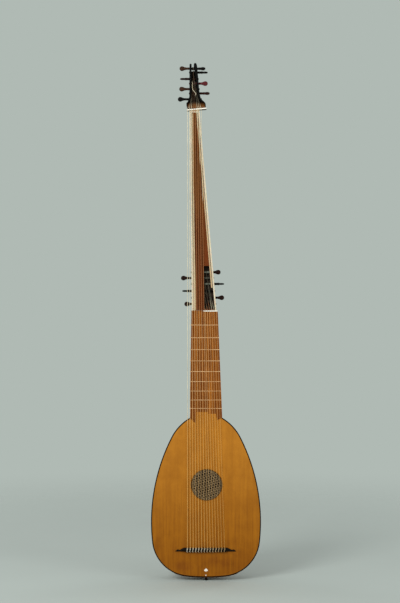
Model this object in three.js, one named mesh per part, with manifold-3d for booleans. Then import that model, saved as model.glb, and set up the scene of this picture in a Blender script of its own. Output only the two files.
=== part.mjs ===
// Theorbo, a long-necked bass lute with a lower pegbox and, far above it, an upper pegbox.
// Millimetres, +Z up along the neck, strings towards -Y, origin at the lower face of the end button.
// Heights below are counted from the lowest point of the belly, depths from the belly's front face.

import * as THREE from "three";
import { mergeVertices } from "three/addons/utils/BufferGeometryUtils.js";
import Module from "manifold-3d";

const wasm = await Module();
wasm.setup();

// Clearances
const seatGap = 0.3;
const claspGap = 0.45;
const cutOverrun = 5;
const glueOverlap = 0.2;

// Body outline: four tangent arcs from the tail to the neck, mirrored. The shoulder bends in from the flank's
// arc, which has the radius that the body's width and heights and that bend leave it.
const bodyHalfWidth = 208.7;
const widestHeight = 211;
const tailRadius = 710;
const cornerRadius = 146.6;
const shoulderRadius = 180;
const shoulderBend = 21.39;
const neckJointHeight = 606;
const neckJointHalfWidth = 61.6;
const outlineTolerance = 1e-9;
const searchRounds = 40;
const bellySteps = [2, 9, 8, 6];
const bowlDepthShare = 0.78;

// Bowl
const ribCount = 9;
const bowlSteps = [1, 7, 6, 4];
const ribThickness = 1.8;
const tailOpeningHalfWidth = 22;
const neckBlockStations = 3;
const claspHalfWidth = 120;
const claspDepth = 40;
const claspEndShare = 0.15;
const claspThickness = 1.5;
const claspSteps = 8;
const claspRows = 3;

// End button
const buttonLength = 12;
const buttonRadius = 8;
const buttonStemRadius = 3;
const buttonStemLength = 14;
const buttonDepth = 11;
const buttonSides = 20;
const buttonProfileShares = [[0.62, 0], [0.9, 0.12], [1, 0.35], [0.9, 0.58], [0.5, 0.75], [0.62, 1]];

// Belly, bars and rose
const bellyThickness = 1.8;
const barWidth = 5;
const barDepth = 14;
const barEndClearance = 9;
const barHeightShares = [0.11, 0.215, 0.32, 0.42, 0.71, 0.8, 0.89];
const roseRadius = 61.5;
const roseHeight = 351;
const roseAcross = 2.5;
const roseThickness = 1.6;
const roseStrapWidth = 3;
const roseRings = [
  { count: 6, share: 0.2 }, { count: 12, share: 0.4 }, { count: 18, share: 0.6 }, { count: 24, share: 0.8 }
];
const roseCentreRadius = 4;
const roseArcSteps = 16;

// Ivory heart near the tail
const heartHeight = 14;
const heartHalfWidth = 7;
const heartCentreHeight = 28;
const heartThickness = 0.8;
const heartOutlineShares = [
  [0, 1], [0.42, 0.55], [0.95, 0.05], [0.98, -0.4], [0.6, -0.62], [0.22, -0.5], [0.3, -1], [0, -0.94]
];

// Bridge
const bridgeHeight = 105.5;
const bridgeLength = 231;
const bridgeWidth = 15;
const bridgeRise = 9;
const bridgeAcross = -1.3;
const bridgeShapeShares = [[-1, 0.14, 0.22], [-0.86, 0.42, 0.26], [-0.7, 1, 0.45], [-0.66, 1, 1]];
const bridgeTopShare = 0.8;
const bridgeDropShare = 0.85;
const bridgeHoleSides = 6;

// Fingerboard and neck
const fingerboardThickness = bellyThickness;
const fingerboardTopLeft = -55.5;
const fingerboardTopRight = 44.8;
const lowerNutHeight = 1009.3;
const tongueHeight = 22;
const tongueStep = 7;
const tongueLeft = -35;
const tongueStepAcross = 7.6;
const tongueRight = 38;
const bassBeard = 22;
const trebleBeard = 9;
const beardLean = 3.5;
const neckDepthAtTop = 31;
const neckSides = 10;
const neckSteps = 6;

// Tied frets
const fretRadius = 0.55;
const fretCount = 9;
const fretSides = 4;
const lastFretClearance = 35.58;
const semitones = 12;

// Nuts
const nutWidth = 4.4;
const lowerNutLeft = -10;
const lowerNutRight = 44.2;
const upperNutRise = 7;
const upperNutLeft = -72.2;
const upperNutRight = 1.9;
const upperNutSlant = 5 * Math.PI / 180;

// Extension
const extensionFaceDepth = 4;
const faceThickness = 2.5;
const extensionLength = 757.5;
const extensionLeftBottom = -54;
const extensionLeftTop = -61.5;
const extensionRightBottom = 39.5;
const extensionRightTop = -24.9;
const extensionBackBottom = 34;
const extensionBackTop = 28;
const extensionRound = 9;
const extensionCornerSteps = 3;

// Lower pegbox, hollowed in the foot of the extension
const pegboxLeftWall = 7;
const pegboxRightWall = 6;
const pegboxBottomWall = 6;
const pegboxBackWall = 4.5;
const lowerPegboxLength = 169;
const openingLeft = -8.4;
const faceStripWidth = 13;
const faceEdgeWidth = 5;
const faceStripRise = 86;

// Upper pegbox. Each row of a side line is a share of the pegbox height and a share of the nut length.
const upperPegboxHeight = 179.2;
const upperPegboxFront = 4;
const upperPegboxBack = 36;
const cheekLeftShares = [
  [0, -0.01], [0.08, 0.004], [0.1155, -0.024], [0.158, -0.032], [0.179, -0.014], [0.2, 0.036],
  [0.23, 0.062], [0.29, 0.102], [0.353, 0.121], [0.939, 0.128], [1.004, 0.148]
];
const cheekRightShares = [
  [0, 0.66], [0.036, 1], [0.08, 0.968], [0.15, 0.956], [0.179, 0.924], [0.2215, 0.82],
  [0.2427, 0.757], [0.285, 0.7], [0.4, 0.641], [0.55, 0.606], [0.88, 0.538], [0.97, 0.509],
  [1.02, 0.461]
];
const slotLeftShares = [[0.196, 0.112], [0.27, 0.205], [0.353, 0.235], [1.004, 0.235]];
const slotRightShares = [
  [0.196, 0.731], [0.27, 0.61], [0.4, 0.529], [0.715, 0.441], [0.855, 0.385], [0.961, 0.345], [1.02, 0.375]
];
const slotWallShare = 0.795;
const slotBackWall = 5;
const rampStartShare = 0.096;
const rampWall = 3.5;
const rampFrontDepth = 5;
const rampBackDepth = 17;

// Strings
const stringCount = 14;
const fingeredCount = 6;
const bridgeStringPitch = 10.87;
const bridgeStringLeft = -70.3;
const upperStringPitch = 7.4;
const upperStringLeft = -70.3;
const lowerStringPitch = 8.36;
const lowerStringLeft = -2.7;
const stringRiseAtBridge = 5.8;
const stringRiseAtLowerNut = 3.6;
const stringRiseAtUpperNut = 2;
const thinnestString = 0.8;
const thickestFingered = 1.25;
const thickestString = 1.6;
const stringSides = 5;
const knotAside = 1.9;
const knotReach = 2;
const knotDropShare = 0.6;
const windingTurns = 1.75;
const windingSteps = 14;
const windingSpace = 0.5;

// Pegs: shares of head length, of head half-width and of head half-thickness
const pegHeadLength = 22;
const pegHeadHalfWidth = 9;
const pegHeadHalfThickness = 3.6;
const pegShankRadius = 4.3;
const pegTailRadius = 3.5;
const pegTaperLength = 140;
const pegTailOverrun = 2;
const pegShankRun = 4;
const pegSides = 10;
const pegReach = 41;
const pegHeadShares = [
  [0, 0.3, 0.42], [0.07, 0.64, 0.75], [0.2, 0.91, 0.95], [0.4, 1, 1], [0.6, 0.88, 1], [0.8, 0.62, 0.96],
  [1, 0.44, 0.96]
];

// Where each peg sits: its string, the side of its head, the shares of pegbox height, of pegbox depth and of
// the longest reach, its turn in quarters, and its winding's start as a share of the way from the left wall
const lowerPegShares = [
  [6, -1, 0.143, 0.5, 0.683, 0, 0.49], [1, 1, 0.285, 0.5, 0.824, 0, 0.82],
  [5, -1, 0.436, 0.5, 0.878, 1, 0.51], [2, 1, 0.595, 0.5, 0.938, 1, 0.76],
  [4, -1, 0.728, 0.5, 0.976, 0, 0.56], [3, 1, 0.86, 0.5, 0.698, 0, 0.7]
];
const upperPegShares = [
  [14, -1, 0.258, 0.375, 1, 0, 0.2], [7, 1, 0.384, 0.42, 0.937, -0.6, 0.75],
  [13, -1, 0.4775, 0.47, 0.945, 0, 0.24], [8, 1, 0.5965, 0.53, 0.846, 0, 0.71],
  [12, -1, 0.696, 0.61, 0.88, 1, 0.31], [9, 1, 0.837, 0.72, 0.944, 1, 0.6],
  [10, 1, 0.904, 0.25, 0.751, -0.5, 0.56], [11, -1, 0.921, 0.735, 0.927, 0, 0.5]
];

const root = new THREE.Group();
root.position.set(0, -buttonDepth, buttonLength);

// Finishes
const finishes = {
  belly: [0xb9772c, 0.45], rib: [0x7a4a22, 0.4], dark: [0x1d1712, 0.4], ivory: [0xe9dfc4, 0.35],
  fingerboard: [0x8a5a30, 0.5], redwood: [0x7b3f1c, 0.4], rose: [0x6f6350, 0.7], gut: [0xd8c9a0, 0.5],
  spruce: [0xcaa66a, 0.7], peg: [0x4a2518, 0.4]
};

function addPiece(name, geometry, finish) {
  const [color, roughness] = finishes[finish];
  const mesh = new THREE.Mesh(geometry, new THREE.MeshStandardMaterial({ color, roughness, metalness: 0 }));
  mesh.name = name;
  root.add(mesh);
  return mesh;
}

// Closed meshes for joining and cutting
function solidOf(geometry) {
  const bare = geometry.clone();
  bare.deleteAttribute("normal");
  bare.deleteAttribute("uv");
  const merged = mergeVertices(bare);
  const vertProperties = new Float32Array(merged.attributes.position.array);
  const triVerts = new Uint32Array(merged.index.array);
  return new wasm.Manifold(new wasm.Mesh({ numProp: 3, vertProperties, triVerts }));
}

function geometryOf(solid) {
  const mesh = solid.getMesh();
  const geometry = new THREE.BufferGeometry();
  geometry.setAttribute("position", new THREE.BufferAttribute(mesh.vertProperties, 3));
  geometry.setIndex(new THREE.BufferAttribute(mesh.triVerts, 1));
  geometry.computeVertexNormals();
  return geometry;
}

// A closed mesh through rings of equal point counts, with a fan over each end unless the last is the first
function loft(rings, looped = false) {
  const count = rings[0].length;
  const positions = rings.flat().flatMap((point) => [point.x, point.y, point.z]);
  const index = [];
  for (let ring = 0; ring + 1 < rings.length; ring += 1) {
    for (let side = 0; side < count; side += 1) {
      const a = ring * count + side;
      const b = ring * count + (side + 1) % count;
      index.push(a, b, b + count, a, b + count, a + count);
    }
  }
  const last = (rings.length - 1) * count;
  for (let side = 1; side + 1 < count && !looped; side += 1) {
    index.push(0, side + 1, side, last, last + side, last + side + 1);
  }
  const geometry = new THREE.BufferGeometry();
  geometry.setAttribute("position", new THREE.Float32BufferAttribute(positions, 3));
  geometry.setIndex(facesOut(positions, index) ? index : index.reverse());
  geometry.computeVertexNormals();
  return geometry;
}

// Whether the triangles enclose a positive volume
function facesOut(positions, index) {
  const corner = (at) => new THREE.Vector3().fromArray(positions, 3 * at);
  let volume = 0;
  for (let at = 0; at < index.length; at += 3) {
    volume += corner(index[at]).dot(corner(index[at + 1]).cross(corner(index[at + 2])));
  }
  return volume > 0;
}

// A plate cut from a front-view outline, from one depth to another
function plate(outline, front, back) {
  const shape = outline instanceof THREE.Shape ? outline : new THREE.Shape(outline);
  const settings = { depth: back - front, bevelEnabled: false, curveSegments: roseArcSteps };
  return new THREE.ExtrudeGeometry(shape, settings).rotateX(Math.PI / 2).translate(0, back, 0);
}

// A bar along X cut from a side-view outline of depth and height
function sidePlate(outline, left, right) {
  const settings = { depth: right - left, bevelEnabled: false };
  const geometry = new THREE.ExtrudeGeometry(new THREE.Shape(outline), settings);
  return geometry.rotateX(Math.PI / 2).rotateZ(Math.PI / 2).translate(left, 0, 0);
}

const flat = (x, z) => new THREE.Vector2(x, z);
const mix = (from, to, share) => from + (to - from) * share;
const between = (value, from, to) => (value - from) / (to - from);

// Outline arcs. Each arc is swept by the direction of its outward normal.
function circleCrossing(a, radiusA, b, radiusB) {
  const apart = a.distanceTo(b);
  const along = (radiusA ** 2 - radiusB ** 2 + apart ** 2) / (2 * apart);
  const aside = Math.sqrt(radiusA ** 2 - along ** 2);
  const way = b.clone().sub(a).divideScalar(apart);
  const middle = a.clone().addScaledVector(way, along);
  const side = flat(-way.y, way.x);
  const one = middle.clone().addScaledVector(side, aside);
  const other = middle.clone().addScaledVector(side, -aside);
  return one.y < other.y ? one : other;
}

const beyondNeck = bodyHalfWidth - neckJointHalfWidth;
const flankSpan = Math.hypot(beyondNeck, neckJointHeight - widestHeight);
const flankRadius = (flankSpan ** 2 - shoulderBend ** 2) / (2 * (beyondNeck - shoulderBend));
const neckCorner = flat(neckJointHalfWidth, neckJointHeight);
const tailCentre = flat(0, tailRadius);
const flankCentre = flat(bodyHalfWidth - flankRadius, widestHeight);
const cornerInFlank = flankRadius - cornerRadius;
const cornerCentre = circleCrossing(tailCentre, tailRadius - cornerRadius, flankCentre, cornerInFlank);
const shoulderCentre = circleCrossing(flankCentre, flankRadius - shoulderRadius, neckCorner, shoulderRadius);
const tailEnd = cornerCentre.clone().sub(tailCentre).angle() - 2 * Math.PI;
const cornerEnd = cornerCentre.clone().sub(flankCentre).angle() - 2 * Math.PI;
const flankEnd = shoulderCentre.clone().sub(flankCentre).angle();
const buttonBore = (buttonStemRadius + seatGap) / Math.cos(Math.PI / buttonSides);
const neckEnd = neckCorner.clone().sub(shoulderCentre).angle();
const tailOpeningAngle = -Math.acos(tailOpeningHalfWidth / tailRadius);

// The point of the outline whose normal has the given direction, moved out by an offset
function outlineAt(direction, offset) {
  const arcs = [[tailEnd, tailCentre, tailRadius], [cornerEnd, cornerCentre, cornerRadius],
    [flankEnd, flankCentre, flankRadius], [neckEnd, shoulderCentre, shoulderRadius]];
  const [, centre, radius] = arcs.find(([end]) => direction <= end + outlineTolerance);
  return flat(Math.cos(direction), Math.sin(direction)).multiplyScalar(radius + offset).add(centre);
}

function sweepDirections(from, to, steps) {
  return Array.from({ length: steps }, (unused, step) => mix(from, to, step / steps));
}

// Directions from a start on the tail's arc to the neck, in a given number of steps on each arc
function outlineDirections(start, steps) {
  const ends = [start, tailEnd, cornerEnd, flankEnd, neckEnd];
  return [...steps.flatMap((count, arc) => sweepDirections(ends[arc], ends[arc + 1], count)), neckEnd];
}

const bowlDirections = outlineDirections(tailOpeningAngle, bowlSteps);

// A point of the bowl: round from the treble edge of the belly to the bass edge as the turn goes from 0 to pi
function bowlPoint(direction, turn, offset) {
  const edge = outlineAt(direction, 0);
  const out = flat(Math.cos(direction), Math.sin(direction)).multiplyScalar(offset);
  const across = (edge.x + out.x) * Math.cos(turn);
  const deep = (edge.x * bowlDepthShare + out.x) * Math.sin(turn);
  return new THREE.Vector3(across, deep, edge.y + out.y);
}

// Belly edge from the tail up the treble side to the neck, as a closed outline with the bass side mirrored
function bellyEdge(offset) {
  const treble = outlineDirections(-Math.PI / 2, bellySteps).map((direction) => outlineAt(direction, offset));
  const bass = treble.slice(1).reverse().map((point) => flat(-point.x, point.y));
  return [...treble, ...bass];
}

// Lower edge of the fingerboard, from the bass side to the treble side, round the belly's tongue
const fingerboardFoot = [
  flat(-neckJointHalfWidth, neckJointHeight), flat(tongueLeft - beardLean, neckJointHeight - bassBeard),
  flat(tongueLeft, neckJointHeight + tongueHeight), flat(tongueStepAcross, neckJointHeight + tongueHeight),
  flat(tongueStepAcross, neckJointHeight + tongueHeight - tongueStep),
  flat(tongueRight, neckJointHeight + tongueHeight - tongueStep),
  flat(tongueRight + beardLean, neckJointHeight - trebleBeard), flat(neckJointHalfWidth, neckJointHeight)
];

// The same line moved sideways by an offset, corners kept sharp
function movedLine(points, offset) {
  return points.map((point, at) => {
    const into = Math.max(at, 1);
    const out = Math.min(at + 1, points.length - 1);
    const first = points[into].clone().sub(points[into - 1]).normalize();
    const second = points[out].clone().sub(points[out - 1]).normalize();
    const bisector = flat(first.y + second.y, -first.x - second.x).normalize();
    return point.clone().addScaledVector(bisector, offset / bisector.dot(flat(first.y, -first.x)));
  });
}

// Rose: a disc pierced by rings of small openings
function makeRose() {
  const shape = new THREE.Shape();
  shape.absarc(roseAcross, roseHeight, roseRadius, 0, 2 * Math.PI);
  const centre = new THREE.Path();
  centre.absarc(roseAcross, roseHeight, roseCentreRadius, 0, 2 * Math.PI);
  shape.holes.push(centre);
  for (const [ring, { count, share }] of roseRings.entries()) {
    const radius = roseRadius * share;
    const halfAlong = Math.PI * radius / count - roseStrapWidth / 2;
    const halfAcross = roseRadius * roseRings[0].share / 2 - roseStrapWidth / 2;
    for (let step = 0; step < count; step += 1) {
      const turn = 2 * Math.PI * (step + ring % 2 / 2) / count;
      const corners = [flat(halfAcross, 0), flat(0, halfAlong), flat(-halfAcross, 0), flat(0, -halfAlong)];
      for (const corner of corners) {
        corner.add(flat(radius, 0)).rotateAround(flat(0, 0), turn).add(flat(roseAcross, roseHeight));
      }
      shape.holes.push(new THREE.Path(corners));
    }
  }
  return plate(shape, 0, roseThickness);
}

const heartOutline = (offset) => {
  const right = heartOutlineShares.map(([across, up]) => {
    const sizes = flat(heartHalfWidth + offset, heartHeight / 2 + offset);
    return flat(across * sizes.x, heartCentreHeight + up * sizes.y);
  });
  const left = right.slice(1, -1).reverse().map((point) => flat(-point.x, point.y));
  return [...right, ...left];
};

// Belly with its bars, open for the rose and recessed for the heart
function makeSoundboard() {
  let belly = solidOf(plate(bellyEdge(0), 0, bellyThickness));
  const tongue = movedLine(fingerboardFoot, seatGap).slice(1, -1);
  const tongueTop = neckJointHeight + tongueHeight;
  const tongueFoot = neckJointHeight - bassBeard;
  const tongueBlank = [
    flat(tongueLeft, tongueFoot), flat(tongueRight, tongueFoot), flat(tongueRight, tongueTop),
    flat(tongueLeft, tongueTop)
  ];
  belly = belly.add(solidOf(plate(tongueBlank, 0, bellyThickness)));
  const above = [
    flat(bodyHalfWidth, neckJointHeight), flat(bodyHalfWidth, tongueTop + cutOverrun),
    flat(-bodyHalfWidth, tongueTop + cutOverrun), flat(-bodyHalfWidth, neckJointHeight)
  ];
  belly = belly.subtract(solidOf(plate([...tongue, ...above], -cutOverrun, cutOverrun)));
  const roseHole = new THREE.Shape();
  roseHole.absarc(roseAcross, roseHeight, roseRadius + 2 * seatGap, 0, 2 * Math.PI);
  belly = belly.subtract(solidOf(plate(roseHole, -cutOverrun, cutOverrun)));
  belly = belly.subtract(solidOf(plate(heartOutline(seatGap), -cutOverrun, heartThickness + seatGap)));
  for (const share of barHeightShares) {
    const height = share * neckJointHeight;
    const reach = outlineAt(directionAt(height), 0).x - barEndClearance;
    const bar = [[0, bellyThickness - glueOverlap], [0, bellyThickness + barDepth],
      [barWidth, bellyThickness + barDepth], [barWidth, bellyThickness - glueOverlap]];
    belly = belly.add(solidOf(sidePlate(bar.map(([up, depth]) => flat(depth, height + up)), -reach, reach)));
  }
  return geometryOf(belly);
}

// The last outline direction, up to a limit, for which a test that is first true and then false still holds
function directionOf(test, limit) {
  let low = -Math.PI / 2;
  let high = limit;
  for (let round = 0; round < searchRounds; round += 1) {
    const middle = (low + high) / 2;
    if (test(middle)) low = middle;
    else high = middle;
  }
  return low;
}

const directionAt = (height) => directionOf((at) => outlineAt(at, 0).y < height, neckEnd);

// One rib: flat across its width, curved along its length
function makeRib(rib) {
  const rings = bowlDirections.map((direction) => {
    const edge = outlineAt(direction, 0);
    const seam = seatGap / 2 / (edge.x * bowlDepthShare);
    const from = Math.PI * rib / ribCount + seam;
    const to = Math.PI * (rib + 1) / ribCount - seam;
    return [bowlPoint(direction, from, 0), bowlPoint(direction, to, 0),
      bowlPoint(direction, to, -ribThickness), bowlPoint(direction, from, -ribThickness)];
  });
  const behindBelly = bellyThickness + seatGap;
  for (const point of rings.flat()) point.y += behindBelly;
  return loft(rings);
}

// Block that the ribs and the neck are glued to, one seat gap inside the ribs
function makeNeckBlock() {
  const rings = bowlDirections.slice(-neckBlockStations).map((direction) => (
    Array.from({ length: ribCount + 1 }, (unused, seam) => {
      return bowlPoint(direction, Math.PI * seam / ribCount, -ribThickness - seatGap);
    })));
  return loft(rings).translate(0, bellyThickness + seatGap, 0);
}

// Strip round the tail, over the lower ends of the ribs
function claspPoint(across, depth, offset) {
  const width = Math.hypot(across, depth / bowlDepthShare);
  const direction = directionOf((at) => outlineAt(at, 0).x < width, 0);
  const spread = width > 0 ? (width + offset * Math.cos(direction)) / width : 1;
  const height = outlineAt(direction, 0).y + offset * Math.sin(direction);
  return new THREE.Vector3(across * spread, depth * spread, height);
}

function makeEndClasp() {
  const rings = [];
  for (let step = -claspSteps; step <= claspSteps; step += 1) {
    const turn = Math.PI / 2 * step / claspSteps;
    const across = claspHalfWidth * Math.sin(turn);
    const reach = claspDepth * mix(claspEndShare, 1, Math.cos(turn));
    const rows = Array.from({ length: claspRows + 1 }, (unused, row) => row / claspRows * reach);
    const inner = rows.map((depth) => claspPoint(across, depth, claspGap));
    const outer = rows.map((depth) => claspPoint(across, depth, claspGap + claspThickness));
    rings.push([...inner, ...outer.reverse()]);
  }
  const strip = solidOf(loft(rings).translate(0, bellyThickness + seatGap, 0));
  const bore = new THREE.CylinderGeometry(buttonBore, buttonBore, 2 * buttonLength, buttonSides);
  return geometryOf(strip.subtract(solidOf(bore.rotateX(Math.PI / 2).translate(0, buttonDepth, 0))));
}

// Button turned in one piece with the stem that goes through the clasp
function makeEndButton() {
  const shoulder = -claspGap - claspThickness - seatGap;
  const profile = buttonProfileShares.map(([radius, up]) => {
    return flat(radius * buttonRadius, mix(-buttonLength, shoulder, up));
  });
  const stem = [flat(buttonStemRadius, shoulder), flat(buttonStemRadius, buttonStemLength + shoulder)];
  const turned = [flat(0, -buttonLength), ...profile, ...stem, flat(0, buttonStemLength + shoulder)];
  return new THREE.LatheGeometry(turned, buttonSides).rotateX(Math.PI / 2).translate(0, buttonDepth, 0);
}

// Bridge: a block with thin pointed ends that droop towards the tail, bored for the strings
function makeBridge() {
  const rings = [...bridgeShapeShares, ...bridgeShapeShares.map(([at, ...rest]) => [-at, ...rest]).reverse()];
  const block = loft(rings.map(([at, width, rise]) => {
    const half = width * bridgeWidth / 2;
    const middle = bridgeHeight - (bridgeWidth / 2 - half) * bridgeDropShare;
    const across = bridgeAcross + at * bridgeLength / 2;
    const top = Math.min(-rise * bridgeRise, -2 * seatGap);
    return [[half, -seatGap], [half * bridgeTopShare, top], [-half * bridgeTopShare, top], [-half, -seatGap]]
      .map(([along, depth]) => new THREE.Vector3(across, depth, middle + along));
  }));
  let bridge = solidOf(block);
  for (let string = 1; string <= stringCount; string += 1) {
    const radius = (stringRadius(string) + seatGap) / Math.cos(Math.PI / bridgeHoleSides);
    const start = bridgePoint(string);
    const way = nutPoint(string).sub(start).normalize();
    const bore = [-bridgeWidth, 2 * bridgeWidth].map((along) => start.clone().addScaledVector(way, along));
    bridge = bridge.subtract(solidOf(tube(bore, radius, bridgeHoleSides)));
  }
  return geometryOf(bridge);
}

// Neck and fingerboard taper together from the body to the lower nut
const neckTop = lowerNutHeight + nutWidth;
const neckShareAt = (height) => between(height, neckJointHeight, neckTop);
const neckLeftAt = (height) => mix(-neckJointHalfWidth, fingerboardTopLeft, neckShareAt(height));
const neckRightAt = (height) => mix(neckJointHalfWidth, fingerboardTopRight, neckShareAt(height));
const neckFront = fingerboardThickness + seatGap;

function neckBackAt(height) {
  const bodyBack = neckJointHalfWidth * bowlDepthShare + bellyThickness + seatGap;
  return mix(bodyBack, neckDepthAtTop, neckShareAt(height));
}

// Half-round section of the neck from the treble side round the back to the bass side
function neckSection(height, grow) {
  const middle = (neckLeftAt(height) + neckRightAt(height)) / 2;
  const half = (neckRightAt(height) - neckLeftAt(height)) / 2 + grow;
  const deep = neckBackAt(height) - neckFront + grow;
  return Array.from({ length: neckSides + 1 }, (unused, side) => {
    const turn = Math.PI * side / neckSides;
    return new THREE.Vector3(middle + half * Math.cos(turn), neckFront + deep * Math.sin(turn), height);
  });
}

function makeNeck() {
  return loft(Array.from({ length: neckSteps + 1 }, (unused, step) => {
    return neckSection(mix(neckJointHeight + seatGap, neckTop, step / neckSteps), 0);
  }));
}

const boardEnd = lowerNutHeight - seatGap;
const fingerboardOutline = [
  ...fingerboardFoot, flat(neckRightAt(boardEnd), boardEnd), flat(lowerNutLeft - seatGap, boardEnd),
  flat(lowerNutLeft - seatGap, neckTop), flat(neckLeftAt(neckTop), neckTop)
];

// Frets: gut tied round neck and fingerboard a semitone apart, the last one a clearance above the body
const lastFretHeight = neckJointHeight + lastFretClearance;
const fretShare = (fret) => (1 - 2 ** (-fret / semitones)) / (1 - 2 ** (-fretCount / semitones));

function makeFret(height) {
  const grow = seatGap + fretRadius;
  const back = neckSection(height, grow);
  const [left, right] = [neckLeftAt(height), neckRightAt(height)];
  const front = [[left - grow, 0], [left, -grow], [right, -grow], [right + grow, 0]];
  const path = [...back, ...front.map(([across, depth]) => new THREE.Vector3(across, depth, height))];
  const rings = path.map((point, at) => {
    const before = path[(at + path.length - 1) % path.length];
    const after = path[(at + 1) % path.length];
    const along = after.clone().sub(before).normalize();
    const outward = new THREE.Vector3(along.y, -along.x, 0);
    return ringAround(point, outward, new THREE.Vector3(0, 0, 1), fretRadius, fretSides);
  });
  return loft([...rings, rings[0]], true);
}

function ringAround(centre, first, second, radius, sides) {
  return Array.from({ length: sides }, (unused, side) => {
    const turn = 2 * Math.PI * side / sides;
    const out = first.clone().multiplyScalar(Math.cos(turn)).addScaledVector(second, Math.sin(turn));
    return out.multiplyScalar(radius).add(centre);
  });
}

// Extension: edges, section and hollowed foot
const extensionFoot = neckTop + seatGap;
const extensionTop = extensionFoot + extensionLength;
const extensionFront = extensionFaceDepth + faceThickness + seatGap;
const extensionShareAt = (height) => between(height, extensionFoot, extensionTop);
const extensionLeftAt = (height) => mix(extensionLeftBottom, extensionLeftTop, extensionShareAt(height));
const extensionRightAt = (height) => mix(extensionRightBottom, extensionRightTop, extensionShareAt(height));
const extensionBackAt = (height) => mix(extensionBackBottom, extensionBackTop, extensionShareAt(height));

function extensionSection(height) {
  const left = extensionLeftAt(height);
  const right = extensionRightAt(height);
  const back = extensionBackAt(height);
  const corner = Array.from({ length: extensionCornerSteps + 1 }, (unused, step) => {
    const turn = Math.PI / 2 * step / extensionCornerSteps;
    return [extensionRound * (1 - Math.cos(turn)), extensionRound * (1 - Math.sin(turn))];
  });
  const outline = [
    [left, extensionFront], [right, extensionFront],
    ...corner.map(([inward, up]) => [right - inward, back - up]),
    ...corner.reverse().map(([inward, up]) => [left + inward, back - up])
  ];
  return outline.map(([across, depth]) => new THREE.Vector3(across, depth, height));
}

const pegboxBottom = extensionFoot + pegboxBottomWall;
const pegboxTop = extensionFoot + lowerPegboxLength;
const pegboxFloor = extensionBackAt(pegboxTop) - pegboxBackWall;
const pegboxLeftAt = (height) => extensionLeftAt(height) + pegboxLeftWall;
const pegboxRightAt = (height) => extensionRightAt(height) - pegboxRightWall;

function makeExtension() {
  const hollow = [
    flat(pegboxLeftAt(pegboxBottom), pegboxBottom), flat(pegboxRightAt(pegboxBottom), pegboxBottom),
    flat(pegboxRightAt(pegboxTop), pegboxTop), flat(pegboxLeftAt(pegboxTop), pegboxTop)
  ];
  let beam = solidOf(loft([extensionSection(extensionFoot), extensionSection(extensionTop)]));
  beam = beam.subtract(solidOf(plate(hollow, -cutOverrun, pegboxFloor)));
  for (const peg of lowerPegs) beam = beam.subtract(solidOf(pegBore(peg)));
  return geometryOf(beam);
}

// Veneered face of the extension, cut out over the lower pegbox
const faceStripEnd = extensionFoot + faceStripRise;
const faceOutline = [
  flat(extensionLeftAt(extensionFoot), extensionFoot), flat(openingLeft, extensionFoot),
  flat(openingLeft, pegboxTop),
  flat(extensionRightAt(pegboxTop) - faceStripWidth, pegboxTop),
  flat(extensionRightAt(faceStripEnd) - faceStripWidth, faceStripEnd),
  flat(extensionRightAt(faceStripEnd) - faceEdgeWidth, faceStripEnd),
  flat(extensionRightAt(extensionFoot) - faceEdgeWidth, extensionFoot),
  flat(extensionRightAt(extensionFoot), extensionFoot),
  flat(extensionRightAt(extensionTop), extensionTop), flat(extensionLeftAt(extensionTop), extensionTop)
];

// Upper pegbox: two cheeks on a flared foot, with a ramp behind the nut, closed at the back but for its top
const upperPegboxBase = extensionTop + seatGap;
const upperNutHeight = extensionTop + upperNutRise;
const upperHeight = (share) => upperPegboxBase + share * upperPegboxHeight;
const upperAcross = (share) => mix(upperNutLeft, upperNutRight, share);
const upperLine = (shares) => shares.map(([up, along]) => flat(upperAcross(along), upperHeight(up)));

// Where a rising line of points stands at a height
function acrossAt(line, height) {
  const next = Math.max(1, line.findIndex((point) => point.y >= height));
  const share = between(height, line[next - 1].y, line[next].y);
  return mix(line[next - 1].x, line[next].x, share);
}

const cheekLeftAt = (height) => acrossAt(upperLine(cheekLeftShares), height);
const cheekRightAt = (height) => acrossAt(upperLine(cheekRightShares), height);

function makeUpperPegbox() {
  const outline = [...upperLine(cheekLeftShares).reverse(), ...upperLine(cheekRightShares)];
  const slot = [...upperLine(slotLeftShares).reverse(), ...upperLine(slotRightShares)];
  slot[0].y += cutOverrun;
  slot[slot.length - 1].y += cutOverrun;
  const rampStart = upperHeight(rampStartShare);
  const rampEnd = slot[slotLeftShares.length].y;
  const wedge = [
    flat(rampFrontDepth, rampStart), flat(rampBackDepth, rampEnd), flat(-cutOverrun, rampEnd),
    flat(-cutOverrun, rampStart)
  ];
  const rampHeights = [rampStart, upperHeight(cheekRightShares[3][0]), rampEnd];
  const trough = [
    ...rampHeights.map((height) => flat(cheekRightAt(height) - rampWall, height)),
    ...rampHeights.reverse().map((height) => flat(cheekLeftAt(height) + rampWall, height))
  ];
  const rampBlank = solidOf(sidePlate(wedge, upperNutLeft, upperNutRight));
  const ramp = rampBlank.intersect(solidOf(plate(trough, -2 * cutOverrun, upperPegboxBack)));
  const wall = [
    flat(upperNutLeft, upperPegboxBase), flat(upperNutRight, upperPegboxBase),
    flat(upperNutRight, upperHeight(slotWallShare)), flat(upperNutLeft, upperHeight(slotWallShare))
  ];
  const opening = solidOf(plate(slot, -cutOverrun, upperPegboxBack + cutOverrun))
    .subtract(solidOf(plate(wall, upperPegboxBack - slotBackWall, upperPegboxBack + 2 * cutOverrun)));
  let fork = solidOf(plate(outline, upperPegboxFront, upperPegboxBack)).subtract(opening).subtract(ramp);
  for (const peg of upperPegs) fork = fork.subtract(solidOf(pegBore(peg)));
  return geometryOf(fork);
}

// Pegs, each counted from the outer face of the wall under its head
function shankRadiusAt(distance) {
  return mix(pegShankRadius, pegTailRadius, distance / pegTaperLength);
}

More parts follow.
